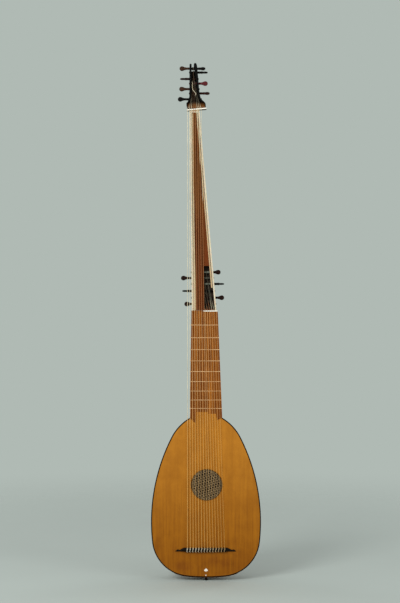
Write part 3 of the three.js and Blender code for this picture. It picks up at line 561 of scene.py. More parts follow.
class Tree:
    """Adds nodes to a node tree. An input is linked to a Value, or else set to a colour or a number."""

    def __init__(self, nodes):
        self.nodes = nodes

    def node(self, kind, inputs, **settings):
        """Adds a node and returns its outputs, by their names and by their numbers."""
        made = self.nodes.nodes.new(kind)
        for name, value in settings.items():
            setattr(made, name, value)
        for key, value in inputs.items():
            if isinstance(value, Value):
                self.nodes.links.new(value.socket, made.inputs[key])
            else:
                made.inputs[key].default_value = tint(value)
        return {key: Value(self, socket) for at, socket in enumerate(made.outputs) for key in (at, socket.name)}

    def math(self, operation, *values, clamp=False):
        return self.node("ShaderNodeMath", dict(enumerate(values)), operation=operation, use_clamp=clamp)[0]

    def noise(self, vector, scale, detail=2.0, roughness=0.5):
        return self.node("ShaderNodeTexNoise", {"Vector": vector, "Scale": scale, "Detail": detail,
                                                "Roughness": roughness})["Fac"]

    def remap(self, value, low, high, to_low=0.0, to_high=1.0):
        return self.node("ShaderNodeMapRange", {"Value": value, "From Min": low, "From Max": high, "To Min": to_low,
                                                "To Max": to_high}, interpolation_type="SMOOTHSTEP")[0]

    def split(self, vector):
        parts = self.node("ShaderNodeSeparateXYZ", {"Vector": vector})
        return parts[0], parts[1], parts[2]

    def join(self, x, y, z):
        return self.node("ShaderNodeCombineXYZ", {"X": x, "Y": y, "Z": z})[0]

    def paint(self, colour, *layers):
        """Lays colours over a colour. Each layer is (colour, mask) or (colour, mask, share of the mask)."""
        for over, mask, *share in layers:
            mask = mask * share[0] if share else mask
            colour = self.node("ShaderNodeMix", {0: mask, 6: colour, 7: over}, data_type="RGBA", blend_type="MIX")[2]
        return colour


def wood_grain(tree, given):
    x, y, z = tree.split(given["Vector"])
    drawn = tree.join(x, y, z * 0.035)
    across = (tree.noise(drawn, 16.0, 3.0) - 0.5) * given["Waviness"] + (y * 0.6 + x)
    waves = tree.math("SINE", across / given["Spacing"] * (2 * math.pi)) * 0.5 + 0.5
    lines = tree.math("POWER", waves, 2.4) * tree.remap(tree.noise(drawn, 110.0), 0.3, 0.66)
    streaks = tree.remap(tree.noise(drawn, 1.0 / given["Streak Width"], 4.0, 0.62), 0.34, 0.66)
    pores = tree.remap(tree.noise(tree.join(x, y, z * 0.05), 2300.0, 1.0), 0.6, 0.7) * given["Pores"]
    return lines, streaks, pores, (lines * 0.5 + pores) * -1.0


def striped_veneer(tree, given):
    x, y, z = tree.split(given["Vector"])
    drawn = tree.join(y * 0.55 + x, 0.0, z * 0.02)
    size = 1.0 / given["Stripe Width"]
    both = tree.noise(drawn, size, 3.0, 0.6) * 0.72 + tree.noise(drawn, size * 0.3, 1.0) * 0.28
    return tree.remap(both, 0.41, 0.59), tree.remap(tree.noise(drawn, size * 5.0), 0.35, 0.65)


def patina(tree, given):
    place = given["Vector"]
    x, y, z = tree.split(place)
    size = 1.0 / given["Size"]
    cloud = tree.noise(place, size, 5.0, 0.6)
    specks = tree.remap(tree.noise(place, size * 16.0), 0.66, 0.74)
    slanted = tree.join(z * 0.3 + x, y, (x * -0.3 + z) * 0.03)
    scratches = tree.remap(tree.noise(slanted, 1100.0), 0.64, 0.71) * tree.remap(tree.noise(place, 25.0), 0.5, 0.62)
    scratches = scratches * given["Wear"]
    return tree.remap(cloud, 0.3, 0.7), specks, scratches, cloud * 0.2 + scratches * 0.25, \
        cloud * 0.4 - (scratches + specks)


# Shader node groups: what builds them, their outputs, and their inputs beside the place
GROUPS = {
    "Wood Grain": (wood_grain, ("Lines", "Streaks", "Pores", "Height"),
                   {"Spacing": 0.0012, "Streak Width": 0.012, "Waviness": 0.004, "Pores": 0.4}),
    "Striped Veneer": (striped_veneer, ("Stripes", "Threads"), {"Stripe Width": 0.004}),
    "Patina": (patina, ("Mottle", "Specks", "Scratches", "Roughness", "Height"), {"Size": 0.03, "Wear": 0.5}),
}


def node_group(name):
    """The shader node group of that name, built when a material first needs it."""
    if name in bpy.data.node_groups:
        return bpy.data.node_groups[name]
    build, outputs, inputs = GROUPS[name]
    made = bpy.data.node_groups.new(name, "ShaderNodeTree")
    made.interface.new_socket("Vector", in_out="INPUT", socket_type="NodeSocketVector")
    for label, value in inputs.items():
        made.interface.new_socket(label, in_out="INPUT", socket_type="NodeSocketFloat").default_value = value
    for label in outputs:
        made.interface.new_socket(label, in_out="OUTPUT", socket_type="NodeSocketFloat")
    tree = Tree(made)
    tree.node("NodeGroupOutput", dict(zip(outputs, build(tree, tree.node("NodeGroupInput", {})))))
    return made


class Finish(Tree):
    """A material with one shader and its object coordinates."""

    def __init__(self, name):
        self.made = bpy.data.materials.new(name)
        self.made.use_nodes = True
        self.made.node_tree.nodes.clear()
        super().__init__(self.made.node_tree)
        self.place = self.node("ShaderNodeTexCoord", {})["Object"]

    def use(self, group, **values):
        inputs = {name.replace("_", " "): value for name, value in values.items()}
        return self.node("ShaderNodeGroup", {"Vector": self.place, **inputs}, node_tree=node_group(group))

    def near(self, centre, reach, soft):
        """A mask that is 1 within the reach of a point (x, z) and fades to 0, measured in the front view."""
        x, _, z = self.split(self.place)
        across, up = (x - centre[0]) / reach[0], (z - centre[1]) / reach[1]
        return self.remap(self.math("SQRT", across * across + up * up), 1.0 - soft, 1.0 + soft, 1.0, 0.0)

    def close(self, colour, rough, height, relief, coat=0.0, shine=0.5, uneven=None, **others):
        """Joins the colour, the roughness and its unevenness, and the height to the shader."""
        bump = self.node("ShaderNodeBump", {"Height": height, "Strength": relief, "Distance": BUMP_DEPTH})[0]
        shader = self.node("ShaderNodeBsdfPrincipled", {
            "Base Color": colour, "Roughness": self.math("ADD", uneven, rough, clamp=True) if uneven else rough,
            "Coat Roughness": 0.28, "Coat Weight": coat, "Specular IOR Level": shine, "Normal": bump,
            **{name.replace("_", " "): value for name, value in others.items()}})
        self.node("ShaderNodeOutputMaterial", {"Surface": shader[0]})
        return self.made


def wood(name, pale, dark, over=None, spacing=0.0012, streak=0.012, waviness=0.004, pores=0.4, lines=0.35,
         patches=0.4, rough=0.36, coat=0.05, relief=0.2, wear=0.5, size=0.03, shine=0.22):
    """A varnished wood. over, if given, takes the finish, its colour and its grain, and returns another colour."""
    made = Finish(name)
    grain = made.use("Wood Grain", Spacing=spacing, Streak_Width=streak, Waviness=waviness, Pores=pores)
    aged = made.use("Patina", Size=size, Wear=wear)
    deep = dimmed(dark, 0.45)
    patch = tuple(mix(a, b, 0.35) for a, b in zip(tint(pale), tint(dark)))
    colour = made.paint(dark, (pale, grain["Streaks"] * 0.75 + aged["Mottle"] * 0.25), (dark, grain["Lines"], lines),
                        (patch, aged["Mottle"], patches), (deep, grain["Pores"], 0.7), (deep, aged["Specks"], 0.55),
                        (pale, aged["Scratches"], 0.4))
    if over:
        colour = over(made, colour, grain)
    return made.close(colour, rough, grain["Height"] * 0.7 + aged["Height"] * 0.6, relief, coat, shine,
                      aged["Roughness"])


# Marks on the belly, the painted shade at its tail and the darkening below the bridge, in metres: centre (x, z), reach
# and softness
STAINS = (((-0.074, 0.055), (0.042, 0.017), 0.5), ((0.05, 0.073), (0.044, 0.02), 0.5))
CRACKS = (((0.0076, 0.157), (0.0005, 0.025), 0.35), ((0.0973, 0.064), (0.0006, 0.027), 0.35),
          ((-0.0935, 0.3), (0.0003, 0.06), 0.35))
TAIL_SHADE = ((0.0, 0.06), (0.2, 0.085), 0.5)
# Darker just below the bridge
BELOW_BRIDGE_DARK = ((-0.0013, 0.112), (0.105, 0.011), 0.6)


def aged_varnish(made, colour, grain):
    """Paints the belly's varnish paler towards the neck, as painted light, and darker at its tail, as painted shade;
    darkens it below the bridge and in marks.
    """
    x, _, z = made.split(made.place)
    drift = made.remap(made.noise(made.join(x, 0.0, z * 0.7), 13.0, 5.0, 0.66), 0.36, 0.66)
    cloud = made.remap(made.noise(made.join(x, 0.0, z * 0.5), 26.0, 4.0, 0.6), 0.3, 0.7)
    below_bridge = made.near(*BELOW_BRIDGE_DARK) * made.remap(made.noise(made.place, 60.0, 4.0, 0.65), 0.35, 0.62)
    # Paler towards the neck: painted light. Darker round TAIL_SHADE: painted shade.
    return made.paint(
        colour, ("belly_worn", made.remap(z, 0.05, 0.6), 0.7), ("belly_dark", drift, 0.32),
        ("belly_dark", made.near(*TAIL_SHADE) * 0.4 * (cloud * 0.7 + 0.3)),
        *(("6e3408", made.near(*stain) * cloud, 0.5) for stain in STAINS),
        *(("3c1e06", made.near(*crack), 0.6) for crack in CRACKS),
        (dimmed("belly_dark", 0.45), below_bridge, 0.6), ("belly_dark", grain["Lines"], 0.2))


def striped(name, pale, dark, deep, width, edge=0.0, low=None, **settings):
    """Striped hardwood, darkened along its edges and, where low is given, tinted with it at its lower end."""
    def over(made, colour, grain):
        x, _, z = made.split(made.place)
        layers = [(dark, made.remap(made.math("ABSOLUTE", x + 0.002), 0.018, 0.055), edge)]
        if low:
            layers.append((low, made.remap(z, 1.15, 1.55, 0.6, 0.0)))
        veneer = made.use("Striped Veneer", Stripe_Width=width)
        return made.paint(colour, *layers, (dark, 1.0 - veneer["Stripes"], 0.8), (deep, veneer["Threads"], 0.3))
    return wood(name, pale, dark, over, spacing=0.002, streak=0.008, pores=0.8, lines=0.2, patches=0.25, relief=0.16,
                wear=0.7, size=0.02, **settings)


def ripples_and_shade(made, colour, grain):
    """Lays ripples across the ramp's grain and paints shade at its upper end."""
    z = made.split(made.place)[2]
    bent = made.noise(made.place, 70.0) * 0.02 + z
    return made.paint(colour, ("7e4e1e", made.remap(made.math("SINE", bent * 900.0), -0.6, 0.9), 0.5),
                      # Painted shade at the ramp's upper end
                      ("1e140a", made.remap(z, 1.804, 1.818, 0.0, 0.9)))


def painted_hollow_shade(made, colour, grain):
    """Paints shade on what lies deep in the rose."""
    return made.paint(colour, ("140d06", made.remap(made.split(made.place)[1], -0.0107, -0.0102), 0.9))


def blackened(name, pale, dark, worn, **settings):
    """Black wood, rubbed in places."""
    def over(made, colour, grain):
        return made.paint(colour, (worn, made.remap(made.noise(made.place, 120.0, 4.0, 0.65), 0.56, 0.7), 0.5))
    return wood(name, pale, dark, over, spacing=0.0011, streak=0.004, pores=0.6, lines=0.3, patches=0.3, relief=0.18,
                wear=0.8, size=0.012, **settings)


def painted_peg_light(made, colour, grain):
    """Paints light on the pegs inside the lower pegbox: a pale grey on their shanks."""
    spots = ((0.006, 1.1713, 0.7), (0.01, 1.1266, 0.6), (0.002, 1.149, 0.3))
    return made.paint(colour, *(("7e8272", made.near((x, z), (0.017, 0.0045), 0.3), share) for x, z, share in spots))


def ivory(name, pale, yellow, rough):
    """Ivory or bone: yellowed in patches, with long faint lines and fine dark cracks."""
    made = Finish(name)
    grain = made.use("Wood Grain", Spacing=0.0007, Streak_Width=0.006, Waviness=0.003, Pores=0.35)
    aged = made.use("Patina", Size=0.012, Wear=0.4)
    colour = made.paint(pale, (yellow, aged["Mottle"], 0.4), (yellow, grain["Lines"], 0.22),
                        ("6e5836", grain["Pores"], 0.5), ("7a6440", aged["Specks"], 0.4))
    return made.close(colour, rough, aged["Height"], 0.1, 0.1, 0.35, aged["Roughness"],
                      Subsurface_Weight=0.08, Subsurface_Scale=0.002)


# Where played strings change their tone, in metres: bounds of z, x or y, and of x leaned by a share of z
OVER_BELLY = (0.58, 0.66, 1.0, 0.0)
OVER_BEAM = (1.02, 1.03)
OVER_BOARD = (-0.0608, -0.0598)
FACE_LEFT, FACE_LEFT_LEAN = (-0.016, -0.015), 0.021
FACE_RIGHT, FACE_RIGHT_LEAN = (0.0872, 0.0882, 1.0, 0.0), 0.07
OVER_ROSE = (spot(ROSE_CENTRE[0], 0.0, ROSE_CENTRE[1]).xz, (0.058, 0.058), 0.03)
OVER_TIES, TIES_ACROSS = (0.122, 0.127, 1.0, 0.0), (-0.05, 0.07, 0.9, 0.3)
# Bounds of the painted shade inside the pegboxes: depth behind the face, height in the upper pegbox, and height where
# its colour changes
BEHIND_FACE, UPPER_BOX_SHADE, UPPER_SHADE = (-0.013, -0.009), (1.803, 1.821), (1.3, 1.31)


def played(made, colour):
    """Tones a played string: warm over the wood, white at its tie, and dark with painted shade where it runs into the
    pegboxes behind the nuts.
    """
    x, y, z = made.split(made.place)
    belly, beam = made.remap(z, *OVER_BELLY), made.remap(z, *OVER_BEAM)
    board = made.math("MAXIMUM", belly, made.remap(x, *OVER_BOARD)) * (1.0 - beam)
    face = made.remap(x + z * FACE_LEFT_LEAN, *FACE_LEFT) * made.remap(x + z * FACE_RIGHT_LEAN, *FACE_RIGHT) * beam
    # Painted shade on the strings inside the pegboxes, greyer in the lower one and darker above UPPER_SHADE
    shade = made.paint("44463a", ("2a241a", made.remap(z, *UPPER_SHADE)))
    behind = made.math("MAXIMUM", made.remap(y, *BEHIND_FACE), made.remap(z, *UPPER_BOX_SHADE))
    return made.paint(
        colour, (made.paint("c89a60", ("d6a450", belly)), board, 0.9), ("9d6636", face, 0.95),
        ("96784c", made.near(*OVER_ROSE), 0.85), ("d2ccba", made.remap(z, *OVER_TIES) * made.remap(x, *TIES_ACROSS)),
        (shade, behind, 0.9))


def gut(name, pale, dark, rough, twist, over=None):
    """Twisted gut. Where dark isn't given, it is the pale colour dimmed."""
    made = Finish(name)
    dark = tint(dark) if dark else dimmed(pale, 0.66)
    x, y, z = made.split(made.place)
    thread = made.math("SINE", z * twist + (x + y) * 4000.0) * 0.5 + 0.5
    aged = made.use("Patina", Size=0.05, Wear=0.2)
    fibres = made.noise(made.join(x, y, z * 0.06), 1500.0)
    colour = made.paint(dark, (pale, aged["Mottle"]), (dark, thread, 0.12),
                        (dimmed(dark, 0.5), made.remap(fibres, 0.55, 0.7), 0.15))
    if over:
        colour = over(made, colour)
    return made.close(colour, rough, thread, 0.35, 0.02, 0.2, aged["Roughness"])


RIB = {"pores": 0.5, "lines": 0.4, "rough": 0.28, "coat": 0.2, "wear": 0.7, "size": 0.05}
TURNED = {"over": painted_peg_light, "spacing": 0.0016, "streak": 0.005, "pores": 0.7, "patches": 0.3, "rough": 0.34,
          "coat": 0.0, "relief": 0.12, "wear": 0.8, "size": 0.01, "shine": 0.05}

# Every look: its slot, what makes it, its two colours and its settings
LOOKS = {
    "belly": ("belly_spruce", wood, "belly", "belly_dark", {
        "over": aged_varnish, "spacing": 0.0013, "streak": 0.011, "waviness": 0.006, "pores": 0.1, "patches": 0.45,
        "rough": 0.42, "coat": 0.02, "relief": 0.18, "wear": 0.6, "size": 0.045, "shine": 0.12}),
    "rib": ("rib_wood", wood, "ribs", "6b3a14", {"spacing": 0.0035, "streak": 0.02, "waviness": 0.012, **RIB}),
    "rib_dark": ("rib_wood", wood, "8c5424", "542a0e", {"spacing": 0.003, "streak": 0.017, "waviness": 0.01, **RIB}),
    "neck": ("neck_wood", striped, "7c4a26", "4a2410", {
        "deep": "36180a", "width": 0.006, "rough": 0.32, "coat": 0.12, "shine": 0.2}),
    "board": ("fingerboard_wood", striped, "board", "board_dark", {
        "deep": "4a240a", "width": 0.0052, "edge": 0.45, "rough": 0.38, "coat": 0.0, "shine": 0.08}),
    "face": ("face_veneer", striped, "face", "face_dark", {
        "deep": "421c08", "width": 0.0075, "low": "7a3010", "rough": 0.36, "coat": 0.0, "shine": 0.08}),
    "ebony": ("black_wood", blackened, "black", "0c0806", {"worn": "342416", "rough": 0.4, "coat": 0.0, "shine": 0.08}),
    "lacquer": ("black_wood", blackened, "0c0d0b", "040403", {
        "worn": "1a1912", "rough": 0.36, "coat": 0.0, "shine": 0.05}),
    "ramp": ("fingerboard_wood", wood, "724416", "40240a", {"over": ripples_and_shade, "streak": 0.006, "size": 0.012}),
    "rose": ("rose_wood", wood, "rose", "5c4426", {
        "over": painted_hollow_shade, "spacing": 0.0016, "streak": 0.006, "lines": 0.3, "rough": 0.62, "coat": 0.0,
        "relief": 0.35, "wear": 0.4, "size": 0.012}),
    "block": ("block_spruce", wood, "d0ac74", "ac8450", {
        "spacing": 0.0022, "rough": 0.68, "coat": 0.0, "relief": 0.3, "wear": 0.2}),
    "inside": ("neck_wood", wood, "443424", "20180f", {
        "spacing": 0.0014, "streak": 0.005, "rough": 0.6, "coat": 0.0, "relief": 0.3, "wear": 0.3, "size": 0.02}),
    "brown_line": ("black_wood", wood, "6e5a40", "4c3a26", {
        "spacing": 0.0011, "streak": 0.004, "lines": 0.3, "rough": 0.4, "coat": 0.03, "size": 0.012}),
    "edging": ("black_wood", wood, "2c1c0c", "140b05", {
        "streak": 0.006, "lines": 0.3, "rough": 0.5, "coat": 0.0, "wear": 0.6, "size": 0.02, "shine": 0.03}),
    "ivory": ("ivory", ivory, "ivory", "b8a276", {"rough": 0.3}),
    "edge_ivory": ("ivory", ivory, "ddd0b4", "b8a680", {"rough": 0.38}),
    "cream": ("ivory", ivory, "c8ae84", "a08258", {"rough": 0.4}),
    "ivory_line": ("rib_wood", ivory, "d8c9a0", "a08a5c", {"rough": 0.34}),
    "gut": ("gut_string", gut, "strings", None, {"rough": 0.45, "twist": 5200.0, "over": played}),
    "loose_gut": ("gut_string", gut, "efe8d0", "d8cba4", {"rough": 0.45, "twist": 5200.0}),
    "fret_gut": ("gut_fret", gut, "frets", "d8a870", {"rough": 0.5, "twist": 3000.0}),
    "peg_black": ("peg_wood", wood, "14110d", "070504", TURNED),
    "peg_brown": ("peg_wood", wood, "472e20", "281a10", TURNED),
    "peg_red": ("peg_wood", wood, "6a2c2e", "421a1c", TURNED),
    "peg_wine": ("peg_wood", wood, "341810", "180a07", TURNED),
    "peg_dark": ("peg_wood", wood, "2a1812", "140a08", TURNED),
}


def finish(look):
    """The material of that look, made when a piece first needs it."""
    if look in bpy.data.materials:
        return bpy.data.materials[look]
    _, make, pale, dark, settings = LOOKS[look]
    return make(look, pale, dark, **settings)


# Pieces
class PieceOperator:
    bl_options = {"REGISTER", "UNDO"}


# The belly's tongue, and the fingerboard's lower end round it
TONGUE = [(41.65, 596.9), (38.15, 620.85), (7.75, 620.85), (7.75, 627.85), (-35.15, 627.85), (-38.75, 584.0)]
BEARDS = [(-38.5, 584.0), (-35.0, 628.0), (7.6, 628.0), (7.6, 621.0), (38.0, 621.0), (41.5, 597.0)]
BAR_HEIGHTS = (0.11, 0.215, 0.32, 0.42, 0.71, 0.8, 0.89)
BAR_DEPTH, BAR_THICK = 14, 5
HEART = ((0, 1), (0.2, 0.72), (0.42, 0.5), (0.72, 0.24), (0.95, -0.02), (1.0, -0.3), (0.86, -0.56), (0.56, -0.64),
         (0.28, -0.52), (0.2, -0.72), (0.34, -0.96), (0, -0.92))
HEART_SIZE, HEART_HEIGHT = 7.0, 28.0
DOT_CENTRE, DOT_RADIUS, DOT_RISE = (-0.6, 8.2), 2.3, 0.45


class THEORBO_OT_belly(PieceOperator, bpy.types.Operator):
    """Builds the belly with its bars, its dark edging, and the ivory heart and dot at its lower edge"""
    bl_idname = "theorbo.belly"
    bl_label = "Belly"

    def execute(self, context):
        treble = [outline_at(d) for d in headings(-math.pi / 2, (16, 40, 40, 26))]
        hole = circle(*ROSE_CENTRE, ROSE_RADIUS + GAP, 120)
        belly = Shape().slab(treble + TONGUE + [(-x, z) for x, z in treble[1:]][::-1], 0.0, BELLY_THICK, 0.25, [hole])
        belly.piece("belly", "belly", "soundboard")
        bars = Shape()
        for height in (share * NECK_JOINT for share in BAR_HEIGHTS):
            reach = half_width(height) - 9
            rings = []
            for at in steps(-1, 1, 24):
                deep = BAR_DEPTH * mix(0.25, 1, smooth((1 - abs(at)) / 0.22))
                section = ((-0.1, 0), (deep * 0.8, 0), (deep, 1.8), (deep, 3.2), (deep * 0.8, BAR_THICK),
                           (-0.1, BAR_THICK))
                rings.append([(at * reach, BELLY_THICK + depth, height + up) for depth, up in section])
            bars.loft(rings)
        bars.piece("belly_bars", "block")
        width = mm(context.scene.theorbo_sizes.edging_width)
        section = ((-width, 0.1), (-width + 0.2, -0.14), (-0.1, -0.14), (0.12, 0.1), (0.12, 1.95), (-width, 1.95))
        edging = Shape()
        for sign in (1, -1):
            rings = []
            for direction in headings(-math.pi / 2, (16, 44, 44, 28)):
                line = [(*outline_at(direction, offset), depth) for offset, depth in section]
                rings.append([(max(x, 0.0) * sign, depth, z) for x, z, depth in line])
            edging.loft(rings)
        edging.piece("belly_edging", "edging")
        right = [(x * HEART_SIZE, HEART_HEIGHT + z * HEART_SIZE) for x, z in HEART]
        heart = Shape().slab(right + [(-x, z) for x, z in right[1:-1]][::-1], -0.16, 0.7, 0.12)
        heart.piece("ivory_heart", "ivory", "heart_inlay")
        rings = []
        for tilt in steps(0, math.pi, 8)[1:-1]:
            across = circle(0.0, 0.0, math.sin(tilt), 20)
            rings.append([(DOT_CENTRE[0] + x * DOT_RADIUS, y * DOT_RISE, DOT_CENTRE[1] + DOT_RADIUS * math.cos(tilt))
                          for x, y in across])
        Shape().loft(rings).piece("ivory_dot", "ivory")
        return {"FINISHED"}


ROSE_STEPS, ROSE_TEETH = 30, 46
# Shares of the rose's radius: the net's edge, the ring round it, the rim, and the zigzag between these
NET_EDGE, NET_RING, RIM, ZIGZAG = 0.885, 0.898, 0.982, (0.905, 0.972)


class THEORBO_OT_rose(PieceOperator, bpy.types.Operator):
    """Carves the rose: interlaced circles round a net of openings, inside a pierced border"""
    bl_idname = "theorbo.rose"
    bl_label = "Rose"

    def execute(self, context):
        cx, cz = ROSE_CENTRE
        inner = ROSE_RADIUS * NET_EDGE
        net = []
        for row in range(-8, 9):
            for column in range(-8, 9):
                at = Vector((column + row % 2 / 2, row * math.sqrt(3) / 2)) * ROSE_PITCH
                at.rotate(Matrix.Rotation(ROSE_TURN, 2))
                if at.length < inner + ROSE_RING * 0.8:
                    wide = (column - (row - row % 2) // 2 - row) % 3 == 0
                    net.append((at.x, at.y, ROSE_WIDE if wide else ROSE_NARROW))
        openings = [circle(cx + x, cz + z, size, 14) for x, z, size in net if math.hypot(x, z) < inner - size]
        rose = Shape().slab(circle(cx, cz, inner + 0.8, 90), 0.85, 1.6, holes=openings)
        for x, z, _ in net:
            run, runs = [], []
            for turn in full_turn(ROSE_STEPS) + [2 * math.pi]:
                px, pz = x + ROSE_RING * math.cos(turn), z + ROSE_RING * math.sin(turn)
                if math.hypot(px, pz) < inner:
                    run.append((cx + px, cz + pz, 0.25 + 0.25 * math.sin(6 * turn)))
                elif run:
                    runs.append(run)
                    run = []
            if run and runs:
                runs[0] = run[:-1] + runs[0]
            elif run:
                runs.append(run)
            for line in (line for line in runs if len(line) > 2):
                closed = len(line) > ROSE_STEPS
                line = line[:-1] if closed else line
                rose.band([p[:2] for p in line], mm(context.scene.theorbo_sizes.rose_strap_width),
                          [p[2] for p in line], 0.85, closed)
        rose.band(circle(cx, cz, ROSE_RADIUS * NET_RING, 120), 2.0, 0.1, 1.5, True)
        rim = Shape().band(circle(cx, cz, ROSE_RADIUS * RIM, 120), 2.2, -0.12, 1.72, True)
        rim.piece("rose_rim", "belly", slot="rose_wood")
        inner_line, outer_line = (circle(cx, cz, ROSE_RADIUS * share, 2 * ROSE_TEETH) for share in ZIGZAG)
        rose.band([inner_line[at] if at % 2 else outer_line[at] for at in range(2 * ROSE_TEETH)], 1.5, 0.3, 1.0, True)
        rose.piece("rose_fretwork", "rose", "rose")
        return {"FINISHED"}


def turned(profile, count):
    """Rings of a piece turned about the button's axis, from rows (radius, height)."""
    return [[(x, y, z) for x, y in circle(0.0, BUTTON_DEPTH, max(radius, 0.01), count)] for radius, z in profile]


def clasp_point(across, depth, offset):
    """A point on the bowl's lower end, moved out by an offset."""
    width = max(math.hypot(across, depth / BOWL_SHARE), 0.001)
    direction = heading_where(lambda at: outline_at(at)[0] < width, 0.0)
    spread = (width + offset * math.cos(direction)) / width
    height = outline_at(direction)[1] + offset * math.sin(direction)
    return Vector((across * spread, depth * spread + BELLY_THICK + SEAT, height))


CLASP_HALF, CLASP_DEPTH, CLASP_WAVE = 120, 40, 2.2
BUTTON_BORE = 3.4
BUTTON = ((0.0, -12.0), (3.4, -12.0), (4.9, -11.75), (5.6, -11.2), (7.0, -10.5), (7.7, -9.6), (8.0, -8.4), (7.8, -7.4),
          (7.1, -6.6), (5.6, -6.1), (4.5, -5.6), (4.1, -5.0), (4.2, -4.2), (5.0, -3.6), (5.3, -3.2), (5.0, -2.45),
          (3.0, -2.25), (3.0, 11.75), (2.4, 12.4), (0.0, 12.4))


class THEORBO_OT_bowl(PieceOperator, bpy.types.Operator):
    """Builds the bowl of ribs with the lines between them, the end clasp and the turned end button"""
    bl_idname = "theorbo.bowl"
    bl_label = "Bowl"

    def execute(self, context):
        sizes = context.scene.theorbo_sizes
        route = headings(TAIL_START, (4, 26, 24, 18))
        for rib in range(RIB_COUNT):
            rings = []
            for at in route:
                edge = outline_at(at)[0]
                seam = 0.1 / (edge * BOWL_SHARE)
                start, end = math.pi * rib / RIB_COUNT + seam, math.pi * (rib + 1) / RIB_COUNT - seam
                bulge = mm(sizes.rib_bulge) * min(edge / 150, 1.0)
                first, last, middle = bowl_point(at, start), bowl_point(at, end), (start + end) / 2
                out = (bowl_point(at, middle, 10) - bowl_point(at, middle)).normalized()
                ring = [first.lerp(last, s) + out * bulge * 4 * s * (1 - s) for s in steps(0, 1, 6)]
                rings.append(ring + [bowl_point(at, end, -RIB_THICK), bowl_point(at, start, -RIB_THICK)])
            Shape().loft(rings).piece(f"bowl_rib_{rib + 1}", "rib_dark" if rib % 2 else "rib", f"rib_{rib + 1}",
                                      crease=25)
        lines = Shape()
        for turn in (math.pi * seam / RIB_COUNT for seam in range(1, RIB_COUNT)):
            rings = []
            for at in route:
                edge = outline_at(at)[0]
                half = mm(sizes.rib_line_width) / 2 * min(1.0, edge / 60 + 0.35) / (edge * BOWL_SHARE)
                rings.append([bowl_point(at, turn - half, 0.05), bowl_point(at, turn, 0.32),
                              bowl_point(at, turn + half, 0.05), bowl_point(at, turn, -1.2)])
            lines.loft(rings)
        lines.piece("rib_lines", "ivory_line")
        rings = []
        for turn in steps(-math.pi / 2, math.pi / 2, 80):
            across = CLASP_HALF * math.sin(turn)
            wave = CLASP_WAVE * (1 - math.cos(8 * turn)) / 2 * math.cos(turn)
            reach = CLASP_DEPTH * mix(0.15, 1, math.cos(turn)) - wave
            rows = steps(0, reach, 10)
            rings.append([clasp_point(across, depth, 0.3) for depth in rows]
                         + [clasp_point(across, depth, 1.45 if depth in (rows[0], rows[10]) else 1.95)
                            for depth in rows[::-1]])
        clasp = Shape().loft(rings).piece("tail_clasp", "rib_dark", "end_clasp")
        cut(clasp, Shape().loft(turned(((BUTTON_BORE, -20), (BUTTON_BORE, 12)), 28)))
        Shape().loft(turned(BUTTON, 40)).piece("turned_button", "ebony", "end_button")
        return {"FINISHED"}


# The bridge: distance from its middle, width and rise towards an end, as shares, and half of its section
BRIDGE_END = [(1.0, 0.05, 0.14), (0.985, 0.14, 0.18), (0.965, 0.27, 0.24), (0.945, 0.42, 0.3), (0.925, 0.5, 0.33),
              (0.905, 0.5, 0.33), (0.885, 0.43, 0.3), (0.865, 0.38, 0.28), (0.845, 0.42, 0.29), (0.82, 0.55, 0.33),
              (0.795, 0.66, 0.36), (0.765, 0.78, 0.38), (0.735, 0.92, 0.42), (0.71, 0.98, 0.5), (0.69, 1.0, 0.72),
              (0.675, 1.0, 0.92), (0.655, 1.0, 1.0)]
BRIDGE_SECTION = [(1, 0.3), (0.97, 0.62), (0.9, 0.88), (0.78, 1)]


class THEORBO_OT_bridge(PieceOperator, bpy.types.Operator):
    """Carves the black bridge with its thin pointed ends and bores it for the strings"""
    bl_idname = "theorbo.bridge"
    bl_label = "Bridge"

    def execute(self, context):
        rows = [(-at, wide, rise) for at, wide, rise in BRIDGE_END] + [(s / 6 * 0.6, 1.0, 1.0) for s in range(-6, 7)]
        rings = []
        for at, wide, rise in rows + BRIDGE_END[::-1]:
            x, half, top = BRIDGE_ACROSS + at * BRIDGE_HALF, wide * BRIDGE_WIDTH / 2, -rise * BRIDGE_RISE
            middle = BRIDGE_HEIGHT - (BRIDGE_WIDTH / 2 - half) * BRIDGE_DROOP
            side = [(half, -0.02)] + [(half * share, top * up) for share, up in BRIDGE_SECTION]
            rings.append([(x, depth, middle + along) for along, depth in side]
                         + [(x, depth, middle - along) for along, depth in side[::-1]])
        bridge = Shape().loft(rings).piece("carved_bridge", "ebony", "bridge", crease=50)
        bores = Shape()
        for string in range(1, STRINGS + 1):
            start = bridge_point(string)
            way = (nut_point(string) - start).normalized()
            bores.tube([start - way * 6, start + way * 26], string_radius(string) + 0.25, 12)
        cut(bridge, bores)
        return {"FINISHED"}


